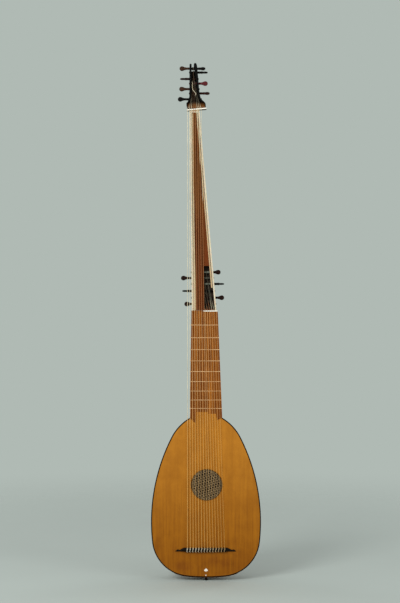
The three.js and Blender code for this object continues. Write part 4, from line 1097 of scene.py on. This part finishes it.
def make_nut(name, ends, height, foot, slant, strings, node, lowered=None):
    """A nut with a rounded top, notched for its strings. lowered is (x, depth): left of x its top has that depth."""
    middle, half = sum(ends) / 2, NUT_WIDTH / 2
    notches = [(nut_point(s).x, string_radius(s), nut_point(s).y) for s in strings]
    crest = notches[0][2] - 0.35
    stations = {ends[0] + 0.01, ends[0] + 0.4, ends[1] - 0.4, ends[1] - 0.01}
    stations |= {round(x + r * k, 3) for x, r, _ in notches for k in (-1.5, -1, -0.7, -0.35, 0, 0.35, 0.7, 1, 1.5)}
    if lowered:
        stations |= {lowered[0] - 0.5, lowered[0]}
    rings = []
    for x in sorted(stations):
        top = crest if ends[0] + 0.3 < x < ends[1] - 0.3 else crest + 0.4
        if lowered and x < lowered[0]:
            top += lowered[1] - crest
        for at, radius, depth in notches:
            if abs(x - at) < radius * 1.01:
                top = max(top, depth + math.sqrt(max(radius ** 2 - (x - at) ** 2, 0)) * 0.92)
        section = ((-1, foot), (-1, mix(top, foot, 0.3)), (-0.82, mix(top, foot, 0.1)), (-0.4, top + 0.06),
                   (0.4, top), (0.86, top + 0.12), (1, mix(top, foot, 0.12)), (1, foot))
        lean = math.tan(slant) * (x - middle)
        rings.append([(x, depth, height + lean + share * half) for share, depth in section])
    Shape().loft(rings).piece(name, "ivory", node)


class THEORBO_OT_neck(PieceOperator, bpy.types.Operator):
    """Builds the veneered neck, the striped fingerboard and the short white nut"""
    bl_idname = "theorbo.neck"
    bl_label = "Neck"

    def execute(self, context):
        rings = []
        for z in steps(NECK_JOINT + GAP, NECK_TOP, 24):
            left, right = neck_edges(z)
            middle, half, deep = (left + right) / 2, (right - left) / 2, neck_back(z) - BELLY_THICK - SEAT
            rings.append([(middle + half * math.cos(t), BELLY_THICK + GAP + (deep + GAP) * math.sin(t), z)
                          for t in steps(0, math.pi, 44)])
        Shape().loft(rings).piece("veneered_neck", "neck", "neck")
        below_nut, nut_left = LOWER_NUT - GAP, LOWER_NUT_ENDS[0] - 0.2
        outline = [(-NECK_HALF, NECK_JOINT), *BEARDS, (NECK_HALF, NECK_JOINT), (neck_edges(below_nut)[1], below_nut),
                   (nut_left, below_nut), (nut_left, NECK_TOP), (neck_edges(NECK_TOP)[0], NECK_TOP)]
        board = Shape().slab(outline, 0.0, BELLY_THICK + 0.1, 0.18)
        board.piece("striped_fingerboard", "board", "fingerboard")
        make_nut("white_nut", LOWER_NUT_ENDS, LOWER_NUT + NUT_WIDTH / 2, BELLY_THICK, 0.0, range(1, FINGERED + 1),
                 "lower_nut", lowered=(-4.0, -2.7))
        return {"FINISHED"}


class THEORBO_OT_frets(PieceOperator, bpy.types.Operator):
    """Ties the double gut frets round the neck, each with its knot at the bass edge"""
    bl_idname = "theorbo.frets"
    bl_label = "Frets"

    def execute(self, context):
        radius = mm(context.scene.theorbo_sizes.fret_gauge) / 2
        for fret in range(1, FRETS + 1):
            share = (1 - 2 ** (-fret / 12)) / (1 - 2 ** (-FRETS / 12))
            height = mix(LOWER_NUT, LAST_FRET, share)
            shape = Shape()
            for z in (height - radius * 1.02, height + radius * 1.02):
                left, right = neck_edges(z)
                middle, half = (left + right) / 2, (right - left) / 2 + radius
                deep = neck_back(z) - BELLY_THICK - GAP + radius
                front = -radius
                loop = [(middle + half * math.cos(t), BELLY_THICK + 0.3 + deep * math.sin(t), z)
                        for t in steps(0, math.pi, 36)]
                loop += [(left - radius * 0.9, 0.6, z), (left - radius * 0.2, front + 0.05, z)]
                loop += [(x, front, z) for x in steps(left + 1.2, right - 1.2, 8)]
                loop += [(right + radius * 0.2, front + 0.05, z), (right + radius * 0.9, 0.6, z)]
                shape.tube(loop, radius, closed=True)
            left = neck_edges(height)[0]
            knot = [(left - radius + 1.1 * math.cos(t) * (0.6 + 0.25 * math.cos(1.5 * t)), 3.4 + 1.5 * math.sin(t),
                     height + 1.25 * math.sin(1.5 * t)) for t in (4 * math.pi * s / 40 for s in range(40))]
            shape.tube(knot, radius * 0.95, closed=True)
            for sign in (-1, 1):
                end = [(left - radius * out, depth, height + sign * up)
                       for out, depth, up in ((0.8, 3.4, 1), (1.2, 4.4, 1.6), (0.8, 5.6, 1.8))]
                shape.tube(curve_through(end, 4), radius * 0.9)
            shape.piece(f"tied_fret_{fret}", "fret_gut", f"fret_{fret}")
        return {"FINISHED"}


# Strips along the face's edges: side, distances from the edge to the near and the far line of the strip, each at the
# foot and at the top, and start over the extension's foot
EDGE_STRIPS = (
    ("ivory_edge_lines", "edge_ivory", ((0, (-0.1, -0.1), (7.4, 5.6), 0.1), (1, (-0.1, -0.1), (5.1, 5.6), 0.1))),
    ("dark_edge_lines", "brown_line", ((0, (7.4, 5.6), (8.3, 8.0), 0.1), (1, (5.6, 5.6), (7.8, 8.0), 86.2))),
    ("cream_edge_lines", "cream", ((0, (8.3, 8.0), (16.2, 12.2), 0.1), (1, (7.8, 8.0), (12.6, 12.2), 86.2))))
STRIPS_TOP = EXT_TOP - 6.0
LINE_FRONT, LINE_EDGE, LINE_BACK = FACE_FRONT - 0.16, FACE_FRONT - 0.06, FACE_FRONT + 1
FACE_STRIP, FACE_EDGE, FACE_STRIP_END = 13.0, 5.0, EXT_FOOT + 86   # the face beside the opening of the pegbox
BEAM_ROUND = 9.0
MITRE_SPOTS, SPOT_FRONT = (-51.6, -32.4), FACE_FRONT - 0.22


def edge_strip(side, near, far, start):
    """Rings of a strip along one edge of the face, up to the strip across its top."""
    inward = -1 if side else 1
    rings = []
    for z in steps(EXT_FOOT + start, STRIPS_TOP, 40):
        rise = smooth(between(z, EXT_FOOT, EXT_TOP) / 0.55)
        a, b = (ext_edges(z)[side] + inward * mix(*line, rise) for line in (near, far))
        rings.append([(a, LINE_BACK, z), (a, LINE_EDGE, z), (a + inward * 0.15, LINE_FRONT, z),
                      (b - inward * 0.15, LINE_FRONT, z), (b, LINE_EDGE, z), (b, LINE_BACK, z)])
    return rings


def peg_bores(pegs):
    bores = Shape()
    for peg in pegs:
        ends = ((along, shank_radius(along) + 0.18) for along in (-6.0, peg.span + 6))
        bores.loft([[peg.at(along, wide, thick) for wide, thick in circle(0.0, 0.0, r, 28)] for along, r in ends])
    return bores


class THEORBO_OT_extension(PieceOperator, bpy.types.Operator):
    """Builds the extension with the hollow of its lower pegbox, its face veneer and the ivory and dark lines on it"""
    bl_idname = "theorbo.extension"
    bl_label = "Extension"

    def execute(self, context):
        rings = []
        for z in steps(EXT_FOOT, EXT_TOP, 32):
            (left, right), back = ext_edges(z), ext_back(z)
            corner = [(BEAM_ROUND * (1 - math.cos(t)), back - BEAM_ROUND * (1 - math.sin(t)))
                      for t in steps(0, math.pi / 2, 10)]
            rings.append([(left, EXT_FRONT - GAP, z), (right, EXT_FRONT - GAP, z)]
                         + [(right - x, y, z) for x, y in corner] + [(left + x, y, z) for x, y in corner[::-1]])
        beam = Shape().loft(rings).piece("extension_beam", ["neck", "inside"], "extension", crease=30)
        low, high = ([edge + wall for edge, wall in zip(ext_edges(z), (PEGBOX_WALLS[0], -PEGBOX_WALLS[1]))]
                     for z in (PEGBOX_BOTTOM, PEGBOX_TOP))
        hollow = Shape().slab([(low[0], PEGBOX_BOTTOM), (low[1], PEGBOX_BOTTOM), (high[1], PEGBOX_TOP),
                               (high[0], PEGBOX_TOP)], -5.0, PEGBOX_FLOOR)
        cut(beam, hollow, 1)
        cut(beam, peg_bores(PEGS[:len(LOWER_PEGS)]), 1)

        foot, top = ext_edges(EXT_FOOT), ext_edges(EXT_TOP)
        strip_end = ext_edges(FACE_STRIP_END)[1]
        outline = [(foot[0], EXT_FOOT), (OPENING_LEFT, EXT_FOOT), (OPENING_LEFT, PEGBOX_TOP),
                   (ext_edges(PEGBOX_TOP)[1] - FACE_STRIP, PEGBOX_TOP), (strip_end - FACE_STRIP, FACE_STRIP_END),
                   (strip_end - FACE_EDGE, FACE_STRIP_END), (foot[1] - FACE_EDGE, EXT_FOOT), (foot[1], EXT_FOOT),
                   (top[1], EXT_TOP), (top[0], EXT_TOP)]
        face = Shape().slab(outline, FACE_FRONT, EXT_FRONT - GAP, 0.2)
        face.piece("face_veneer", "face", "extension_face")
        for name, look, strips in EDGE_STRIPS:
            shape = Shape()
            for strip in strips:
                shape.loft(edge_strip(*strip))
            if look == "edge_ivory":
                left, right = ext_edges(EXT_TOP - 3)
                shape.slab([(left - 0.1, EXT_TOP - 5.9), (right + 0.1, EXT_TOP - 5.9), (right + 0.05, EXT_TOP - 0.1),
                            (left - 0.05, EXT_TOP - 0.1)], LINE_FRONT, LINE_BACK, 0.12)
            shape.piece(name, look)
        spots = Shape()
        for x in MITRE_SPOTS:
            square = [(x + right, EXT_TOP + up) for right, up in ((-1.5, -8.4), (1.5, -8.4), (1.5, -5.4), (-1.5, -5.4))]
            spots.slab(square, SPOT_FRONT, LINE_BACK, 0.1)
        spots.piece("mitre_spots", "ebony")
        return {"FINISHED"}


def cheek(left, right, rise):
    """A cheek's left side, its rounded top and its right side."""
    shoulder = left[-1][1] - rise
    a, b = across_at(left, shoulder), across_at(right, shoulder)
    middle, half = (a + b) / 2, (b - a) / 2
    tip = [(middle - half * math.cos(t), shoulder + rise * math.sin(t)) for t in steps(0, math.pi, 14)]
    return [p for p in left if p[1] < shoulder - 0.2] + tip + [p for p in right[::-1] if p[1] < shoulder - 0.2]


def inset(left, right, z, distance):
    """Where two side lines of the upper pegbox are at a height, moved towards each other by a distance."""
    return across_at(upper_line(left), z) + distance, across_at(upper_line(right), z) - distance


def under_nut(x):
    return UPPER_NUT - NUT_WIDTH / 2 + math.tan(UPPER_SLANT) * (x - sum(UPPER_NUT_ENDS) / 2)


RAMP_SHARES = (0.096, 0.15, 0.1965)
RAMP_DEPTHS = (5.0, 17.0)
FOOT_TOP = 9.5


class THEORBO_OT_upper_pegbox(PieceOperator, bpy.types.Operator):
    """Carves the upper pegbox, with the figured ramp behind its slanting white nut"""
    bl_idname = "theorbo.upper_pegbox"
    bl_label = "Upper pegbox"

    def execute(self, context):
        def side(shares):
            return [tuple(p) for p in curve_through(upper_line(shares), 5)]

        slot_left = SLOT_LEFT[:-1] + ((0.7, SLOT_LEFT[-1][1]), SLOT_LEFT[-1])
        right = upper_line(CHEEK_RIGHT[:1]) + side(CHEEK_RIGHT[1:])
        outline = cheek(side(CHEEK_LEFT), side(slot_left), 3.0) + cheek(side(SLOT_RIGHT), right, 4.0)
        beam_left, beam_right = ext_edges(EXT_TOP)
        outline = [p for p in outline if p[1] > UPPER_BASE + FOOT_TOP] + [
            (UPPER_NUT_ENDS[1], under_nut(UPPER_NUT_ENDS[1]) + 0.6), (beam_right + 0.2, under_nut(beam_right) + 0.6),
            (beam_right, UPPER_BASE), (beam_left, UPPER_BASE), (beam_left - 0.2, under_nut(beam_left) + 0.6),
            (UPPER_NUT_ENDS[0], under_nut(UPPER_NUT_ENDS[0]) + 0.6)]
        fork = Shape().slab(outline, UPPER_FRONT, UPPER_BACK, 0.8)
        fork = fork.piece("black_pegbox", ["lacquer", "ramp"], "upper_pegbox")
        start, middle, end = (UPPER_BASE + share * UPPER_TALL for share in RAMP_SHARES)
        rings = [box_ring(*inset(CHEEK_LEFT, CHEEK_RIGHT, z, 3.5), -4, mix(*RAMP_DEPTHS, between(z, start, end)), z)
                 for z in (start, middle, end + 0.4)]
        cut(fork, Shape().loft(rings), 1)
        cut(fork, peg_bores(PEGS[len(LOWER_PEGS):]))
        low, high = (UPPER_BASE + share * UPPER_TALL for share in SLOT_CLOSED)
        levels = [(z, SLOT_BACK) for z in steps(low, high, 12)] + [(high + 0.5, 1.6), (high + 9.0, 1.6)]
        rings = [box_ring(*inset(SLOT_LEFT, SLOT_RIGHT, max(z, low + 2), -0.4), UPPER_BACK - deep, UPPER_BACK - 0.25, z)
                 for z, deep in levels]
        Shape().loft(rings).piece("pegbox_back", "lacquer")
        near, far = UPPER_FRONT - 0.14, UPPER_FRONT + 0.6
        rings = []
        for z in steps(UPPER_NUT + 3.4, start + 1.0, 4):
            left, right = inset(CHEEK_LEFT, CHEEK_RIGHT, z, 3.3)
            rings.append([(left, far, z), (left, near, z), (right, near, z), (right, far, z)])
        Shape().loft(rings).piece("ramp_veneer", "ramp")
        left, right = beam_left + 0.2, beam_right - 0.2
        cap = Shape().slab([(left, UPPER_BASE), (right, UPPER_BASE), (right, under_nut(beam_right) + 0.3),
                            (left, under_nut(beam_left) + 0.3)], near, far, 0.1)
        cap.piece("nut_veneer", "cream")
        make_nut("slanting_nut", UPPER_NUT_ENDS, UPPER_NUT, UPPER_FRONT, UPPER_SLANT, range(FINGERED + 1, STRINGS + 1),
                 "upper_nut")
        return {"FINISHED"}


# A peg's head: distance along it, half width and half thickness, as shares. Its collar, shoulder and tip: distance
# and radius
PEG_HEAD = ((0.0, 0.1, 0.1), (0.012, 0.32, 0.32), (0.04, 0.48, 0.5), (0.09, 0.64, 0.68), (0.16, 0.79, 0.83),
            (0.24, 0.92, 0.92), (0.32, 0.98, 0.98), (0.41, 1.0, 1.0), (0.5, 0.98, 1.0), (0.59, 0.93, 1.0),
            (0.67, 0.86, 1.0), (0.75, 0.77, 1.02), (0.83, 0.68, 1.06), (0.9, 0.61, 1.12), (0.95, 0.56, 1.18))
PEG_COLLAR = ((-0.4, 4.7), (0.0, 5.3), (0.9, 5.4), (1.6, 4.9), (2.2, 4.4), (3.4, 4.3))
PEG_SHOULDER = ((-5.2, 4.4), (-4.2, 4.9), (-3.6, shank_radius(-3.6)))
PEG_TIP = ((-0.6, 3.1), (-0.1, 2.2), (0.0, 0.8))
PEG_PAST_WALL = 2.0
HEAD_LENGTH, HEAD_HALF_WIDTH, HEAD_HALF_THICK = 22, 9.0, 3.6


def rounded(share, power):
    """A sine or cosine, changed so that the section of a peg is squarer than a circle for powers over 2."""
    return math.copysign(abs(share) ** (2 / power), share)


class THEORBO_OT_pegs(PieceOperator, bpy.types.Operator):
    """Turns and carves the fourteen pegs, each riding on its own body"""
    bl_idname = "theorbo.pegs"
    bl_label = "Pegs"

    def execute(self, context):
        for peg in PEGS:
            neck, tail = HEAD_LENGTH - peg.reach, peg.span + PEG_PAST_WALL
            stations = [(along * HEAD_LENGTH - peg.reach, wide * HEAD_HALF_WIDTH, thick * HEAD_HALF_THICK,
                         2.6 if along < 0.7 else 2.2) for along, wide, thick in PEG_HEAD]
            plain = [(neck + along, radius) for along, radius in PEG_COLLAR]
            plain += [(max(along, neck + 3.6), radius) for along, radius in PEG_SHOULDER]
            plain += [(along, shank_radius(along)) for along in (0.0, tail * 0.5, tail - 1.4)]
            plain += [(tail + along, radius) for along, radius in PEG_TIP]
            stations += [(along, radius, radius, 2.0) for along, radius in plain]
            rings = [[peg.at(along, rounded(math.sin(t), power) * wide, rounded(math.cos(t), power) * thick)
                      for t in full_turn(28)] for along, wide, thick, power in stations]
            Shape().loft(rings).piece(f"turned_peg_{peg.string}", peg.finish, peg.body, body=peg.body, crease=55)
        return {"FINISHED"}


# Loose ends of strings, counted from where each leaves its peg
STRING_ENDS = {
    5: ((2.5, -4.0, 3.5), (8.0, -6.5, -1.5), (14.0, -7.5, -8.5)),
    6: ((-3.2, -1.0, 6.0), (-6.0, -4.2, 3.0), (-4.2, -6.0, -2.5)),
    8: ((-2.0, -4.0, 6.0), (-4.0, -7.0, 13.0), (-7.0, -8.0, 17.0)),
    11: ((3.0, 3.0, 5.0), (7.0, 1.0, 8.0)),
    12: ((1.0, -11.0, -6.0), (2.0, -20.0, -18.0), (2.8, -26.0, -38.0), (14.5, -28.0, -54.0), (12.5, -27.0, -61.0)),
    13: ((4.0, -3.0, -8.0), (9.0, -6.0, -19.0), (17.0, -7.5, -27.0))}


class THEORBO_OT_strings(PieceOperator, bpy.types.Operator):
    """Ties the fourteen gut strings to the bridge and winds them on their pegs"""
    bl_idname = "theorbo.strings"
    bl_label = "Strings"

    def execute(self, context):
        front, back = BRIDGE_HEIGHT + BRIDGE_WIDTH / 2, BRIDGE_HEIGHT - BRIDGE_WIDTH / 2
        for peg in PEGS:
            radius = string_radius(peg.string)
            entry = bridge_point(peg.string)
            x, top = entry.x, -BRIDGE_RISE - radius * 0.95
            way = (nut_point(peg.string) - entry).normalized()
            tie = [(x - 1.7, top + 0.05, front - 3.2), (x - 1.75, top, BRIDGE_HEIGHT), (x - 1.6, top, back + 2.4),
                   (x - 1.2, top + 1.0, back + 0.1), (x - 0.7, top + 2.3, back - radius - 0.4),
                   (x - 0.1, -6.3, back - radius - 0.55), entry + Vector((0, -0.15, -0.1))]
            tie += [entry + way * (BRIDGE_WIDTH * share) for share in (0.15, 0.6)]
            line = curve_through(tie, 5) + [entry + way * (BRIDGE_WIDTH + 1.4), nut_point(peg.string)]
            wound = winding(peg)
            shape = Shape().tube(line + wound, radius)
            knot = (x + 0.2, -6.5, front + radius + 0.7)
            under = [knot, (x + 1.3, -7.4, front + radius + 0.25), (x + 1.5, top + 0.6, front - 0.8),
                     (x + 1.0, top - radius * 0.3, front - 3.4), (x - 0.4, top - radius * 1.3, BRIDGE_HEIGHT + 0.6),
                     (x - 1.7, top - radius * 0.9, BRIDGE_HEIGHT - 2.2), (x - 2.6, top - 0.1, back + 2.6),
                     (x - 2.9, top + 0.8, back + 0.6)]
            loop = [tie[0], (x - 1.5, top + 0.9, front - 0.5), (x - 0.9, -7.2, front + radius + 0.5), knot]
            shape.tube(curve_through(under, 5), radius * 0.96).tube(curve_through(loop, 5), radius * 0.98)
            if peg.string in STRING_ENDS:
                step = (wound[-1] - wound[-2]).normalized()
                end = [wound[-1], wound[-1] + step * 1.6]
                end += [wound[-1] + Vector(away) for away in STRING_ENDS[peg.string]]
                shape.tube(curve_through(end, 6), radius * 0.9, tone=int(peg.string == LOOSE_STRING))
            shape.piece(f"gut_string_{peg.string}", ["gut", "loose_gut"], f"string_{peg.string}", crease=60)
        return {"FINISHED"}


class THEORBO_OT_block(PieceOperator, bpy.types.Operator):
    """Gives the neck block inside the bowl its bare softwood"""
    bl_idname = "theorbo.block"
    bl_label = "Neck block"

    def execute(self, context):
        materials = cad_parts["neck_block"].data.materials
        materials.clear()
        materials.append(finish("block"))
        return {"FINISHED"}


# The stage, in metres and watts: rings of the floor, lamps (name, place, size, power) and camera
FLOOR_RINGS, FLOOR_FADE = (0.2, 0.6, 1.2, 2.0, 2.8, 3.6), (0.9, 3.4)
LAMPS = (("key", (-1.9, -2.8, 2.4), 1.6, 88.0), ("fill", (2.6, -2.2, 1.4), 1.8, 28.0),
         ("right_back", (3.0, 1.9, 2.2), 1.8, 26.0), ("left_back", (-3.0, 1.9, 2.2), 1.8, 20.0))
LAMPS_AIM = Vector((0.0, 0.0, 0.9))
CAMERA_PLACE, CAMERA_LENS = (-0.0228, -5.011, 1.0597), 78.6


class THEORBO_OT_stage(PieceOperator, bpy.types.Operator):
    """Sets the pale floor, the soft lights and the camera"""
    bl_idname = "theorbo.stage"
    bl_label = "Stage"

    def execute(self, context):
        scene, sizes = context.scene, context.scene.theorbo_sizes
        mesh = bpy.data.meshes.new("floor")
        mesh.from_pydata([(x, y, -0.001) for radius in FLOOR_RINGS for x, y in circle(0.0, 0.0, radius, 64)], [],
                         [tuple(range(64))] + [face[::-1] for face in skin(64, len(FLOOR_RINGS))])
        floor = bpy.data.objects.new("floor", mesh)
        scene.collection.objects.link(floor)
        made = Finish("pale_floor")
        cloud = made.remap(made.noise(made.place, 3.0, 3.0), 0.3, 0.7)
        x, y, _ = made.split(made.place)
        away = made.math("SQRT", x * x + y * y)
        mesh.materials.append(made.close(
            made.paint("backdrop", (dimmed("backdrop", 0.94), cloud, 0.25)), 0.85, made.noise(made.place, 300.0), 0.15,
            shine=0.2, Alpha=made.remap(away, *FLOOR_FADE, 1.0, 0.0)))

        world = bpy.data.worlds.new("pale_room")
        scene.world = world
        world.use_nodes = True
        world.node_tree.nodes.clear()
        tree = Tree(world.node_tree)
        path = tree.node("ShaderNodeLightPath", {})
        seen = tree.math("MAXIMUM", tree.math("MAXIMUM", path["Is Camera Ray"], path["Is Glossy Ray"]),
                         path["Is Transmission Ray"])
        light = tree.node("ShaderNodeBackground", {"Color": (1.0, 1.0, 1.0, 1.0), "Strength": sizes.room_light})[0]
        room = tree.node("ShaderNodeBackground", {"Color": "backdrop", "Strength": 1.0})[0]
        both = tree.node("ShaderNodeMixShader", {0: seen, 1: light, 2: room})[0]
        tree.node("ShaderNodeOutputWorld", {"Surface": both})

        for name, place, size, power in LAMPS:
            lamp = bpy.data.lights.new(name, "AREA")
            lamp.shape, lamp.size, lamp.energy = "DISK", size, power * sizes.lamp_level
            held = bpy.data.objects.new(name, lamp)
            held.location = place
            held.rotation_euler = (LAMPS_AIM - Vector(place)).to_track_quat("-Z", "Y").to_euler()
            scene.collection.objects.link(held)

        lens = bpy.data.cameras.new("camera")
        lens.sensor_fit, lens.sensor_height, lens.lens = "VERTICAL", 36.0, CAMERA_LENS
        lens.clip_start, lens.clip_end = 0.05, 60.0
        camera = bpy.data.objects.new("camera", lens)
        camera.location, camera.rotation_euler = CAMERA_PLACE, (math.pi / 2, 0.0, 0.0)
        scene.collection.objects.link(camera)
        scene.camera = camera
        scene.view_settings.view_transform = "Standard"
        return {"FINISHED"}


# Settings and panel
def length(name, description, default, low, high):
    return FloatProperty(name=name, description=description, default=default, min=low, max=high, unit="LENGTH",
                         subtype="DISTANCE", precision=4)


def colour(name, description, code):
    return FloatVectorProperty(name=name, description=description, default=linear(code), size=4, min=0.0, max=1.0,
                               subtype="COLOR")


class TheorboSizes(bpy.types.PropertyGroup):
    edging_width: length("Edging width", "Width of the dark strip round the belly", 0.0042, 0.0008, 0.005)
    rose_strap_width: length("Rose strap width", "Width of the carved straps of the rose", 0.0014, 0.001, 0.004)
    rib_bulge: length("Rib bulge", "How far each rib of the bowl swells between its seams", 0.0009, 0.0, 0.002)
    rib_line_width: length("Rib line width", "Width of the pale lines between the ribs", 0.0016, 0.0005, 0.004)
    fret_gauge: length("Fret gauge", "Diameter of the gut of one fret strand", 0.0010, 0.0004, 0.0011)
    room_light: FloatProperty(name="Room light", description="Strength of the even light from all round", default=0.5,
                              min=0.0, max=2.0)
    lamp_level: FloatProperty(name="Lamp level", description="Level of the four soft lamps", default=1.0, min=0.0,
                              max=4.0)


class TheorboColours(bpy.types.PropertyGroup):
    belly: colour("Belly", "Honey varnish of the belly", "aa690c")
    belly_dark: colour("Belly, dark", "Grain and shadows in the belly's varnish", "804704")
    # The paler varnish towards the neck is painted light.
    belly_worn: colour("Belly, worn", "Paler varnish towards the neck", "c88428")
    rose: colour("Rose", "Carved wood of the rose", "ccae80")
    board: colour("Fingerboard", "Pale stripes of the fingerboard", "cc802c")
    board_dark: colour("Fingerboard, dark", "Dark stripes of the fingerboard", "703606")
    face: colour("Face veneer", "Pale streaks of the extension's face", "82501e")
    face_dark: colour("Face veneer, dark", "Dark streaks of the extension's face", "4a2406")
    ribs: colour("Ribs", "Varnish of the lighter ribs of the bowl", "a8682c")
    black: colour("Black wood", "Blackened hardwood of bridge and end button", "1e150e")
    ivory: colour("Ivory", "Polished ivory or bone", "e4d9bc")
    strings: colour("Strings", "Plain gut of the strings", "ebdfba")
    frets: colour("Frets", "Gut of the tied frets", "fad8a4")
    backdrop: colour("Backdrop", "Pale floor and room", "b0bab4")


PIECE_OPERATORS = (
    THEORBO_OT_stage, THEORBO_OT_belly, THEORBO_OT_rose, THEORBO_OT_bowl, THEORBO_OT_block, THEORBO_OT_bridge,
    THEORBO_OT_neck, THEORBO_OT_frets, THEORBO_OT_extension, THEORBO_OT_upper_pegbox, THEORBO_OT_pegs,
    THEORBO_OT_strings,
)


class THEORBO_PT_panel(bpy.types.Panel):
    """Sizes, colours and pieces of the theorbo"""
    bl_idname = "THEORBO_PT_panel"
    bl_label = "Theorbo"
    bl_space_type = "VIEW_3D"
    bl_region_type = "UI"
    bl_category = "Theorbo"

    def draw(self, context):
        for settings in (context.scene.theorbo_sizes, context.scene.theorbo_colours):
            box = self.layout.box()
            for name in settings.__annotations__:
                box.prop(settings, name)
        for operator in PIECE_OPERATORS:
            self.layout.operator(operator.bl_idname)


CLASSES = (TheorboSizes, TheorboColours) + PIECE_OPERATORS + (THEORBO_PT_panel,)


def register():
    for made in CLASSES:
        bpy.utils.register_class(made)
    bpy.types.Scene.theorbo_sizes = PointerProperty(type=TheorboSizes)
    bpy.types.Scene.theorbo_colours = PointerProperty(type=TheorboColours)


def unregister():
    del bpy.types.Scene.theorbo_colours
    del bpy.types.Scene.theorbo_sizes
    for made in reversed(CLASSES):
        bpy.utils.unregister_class(made)


def main():
    register()
    for operator in PIECE_OPERATORS:
        group, action = operator.bl_idname.split(".")
        getattr(getattr(bpy.ops, group), action)()


if __name__ == "__main__":
    main()
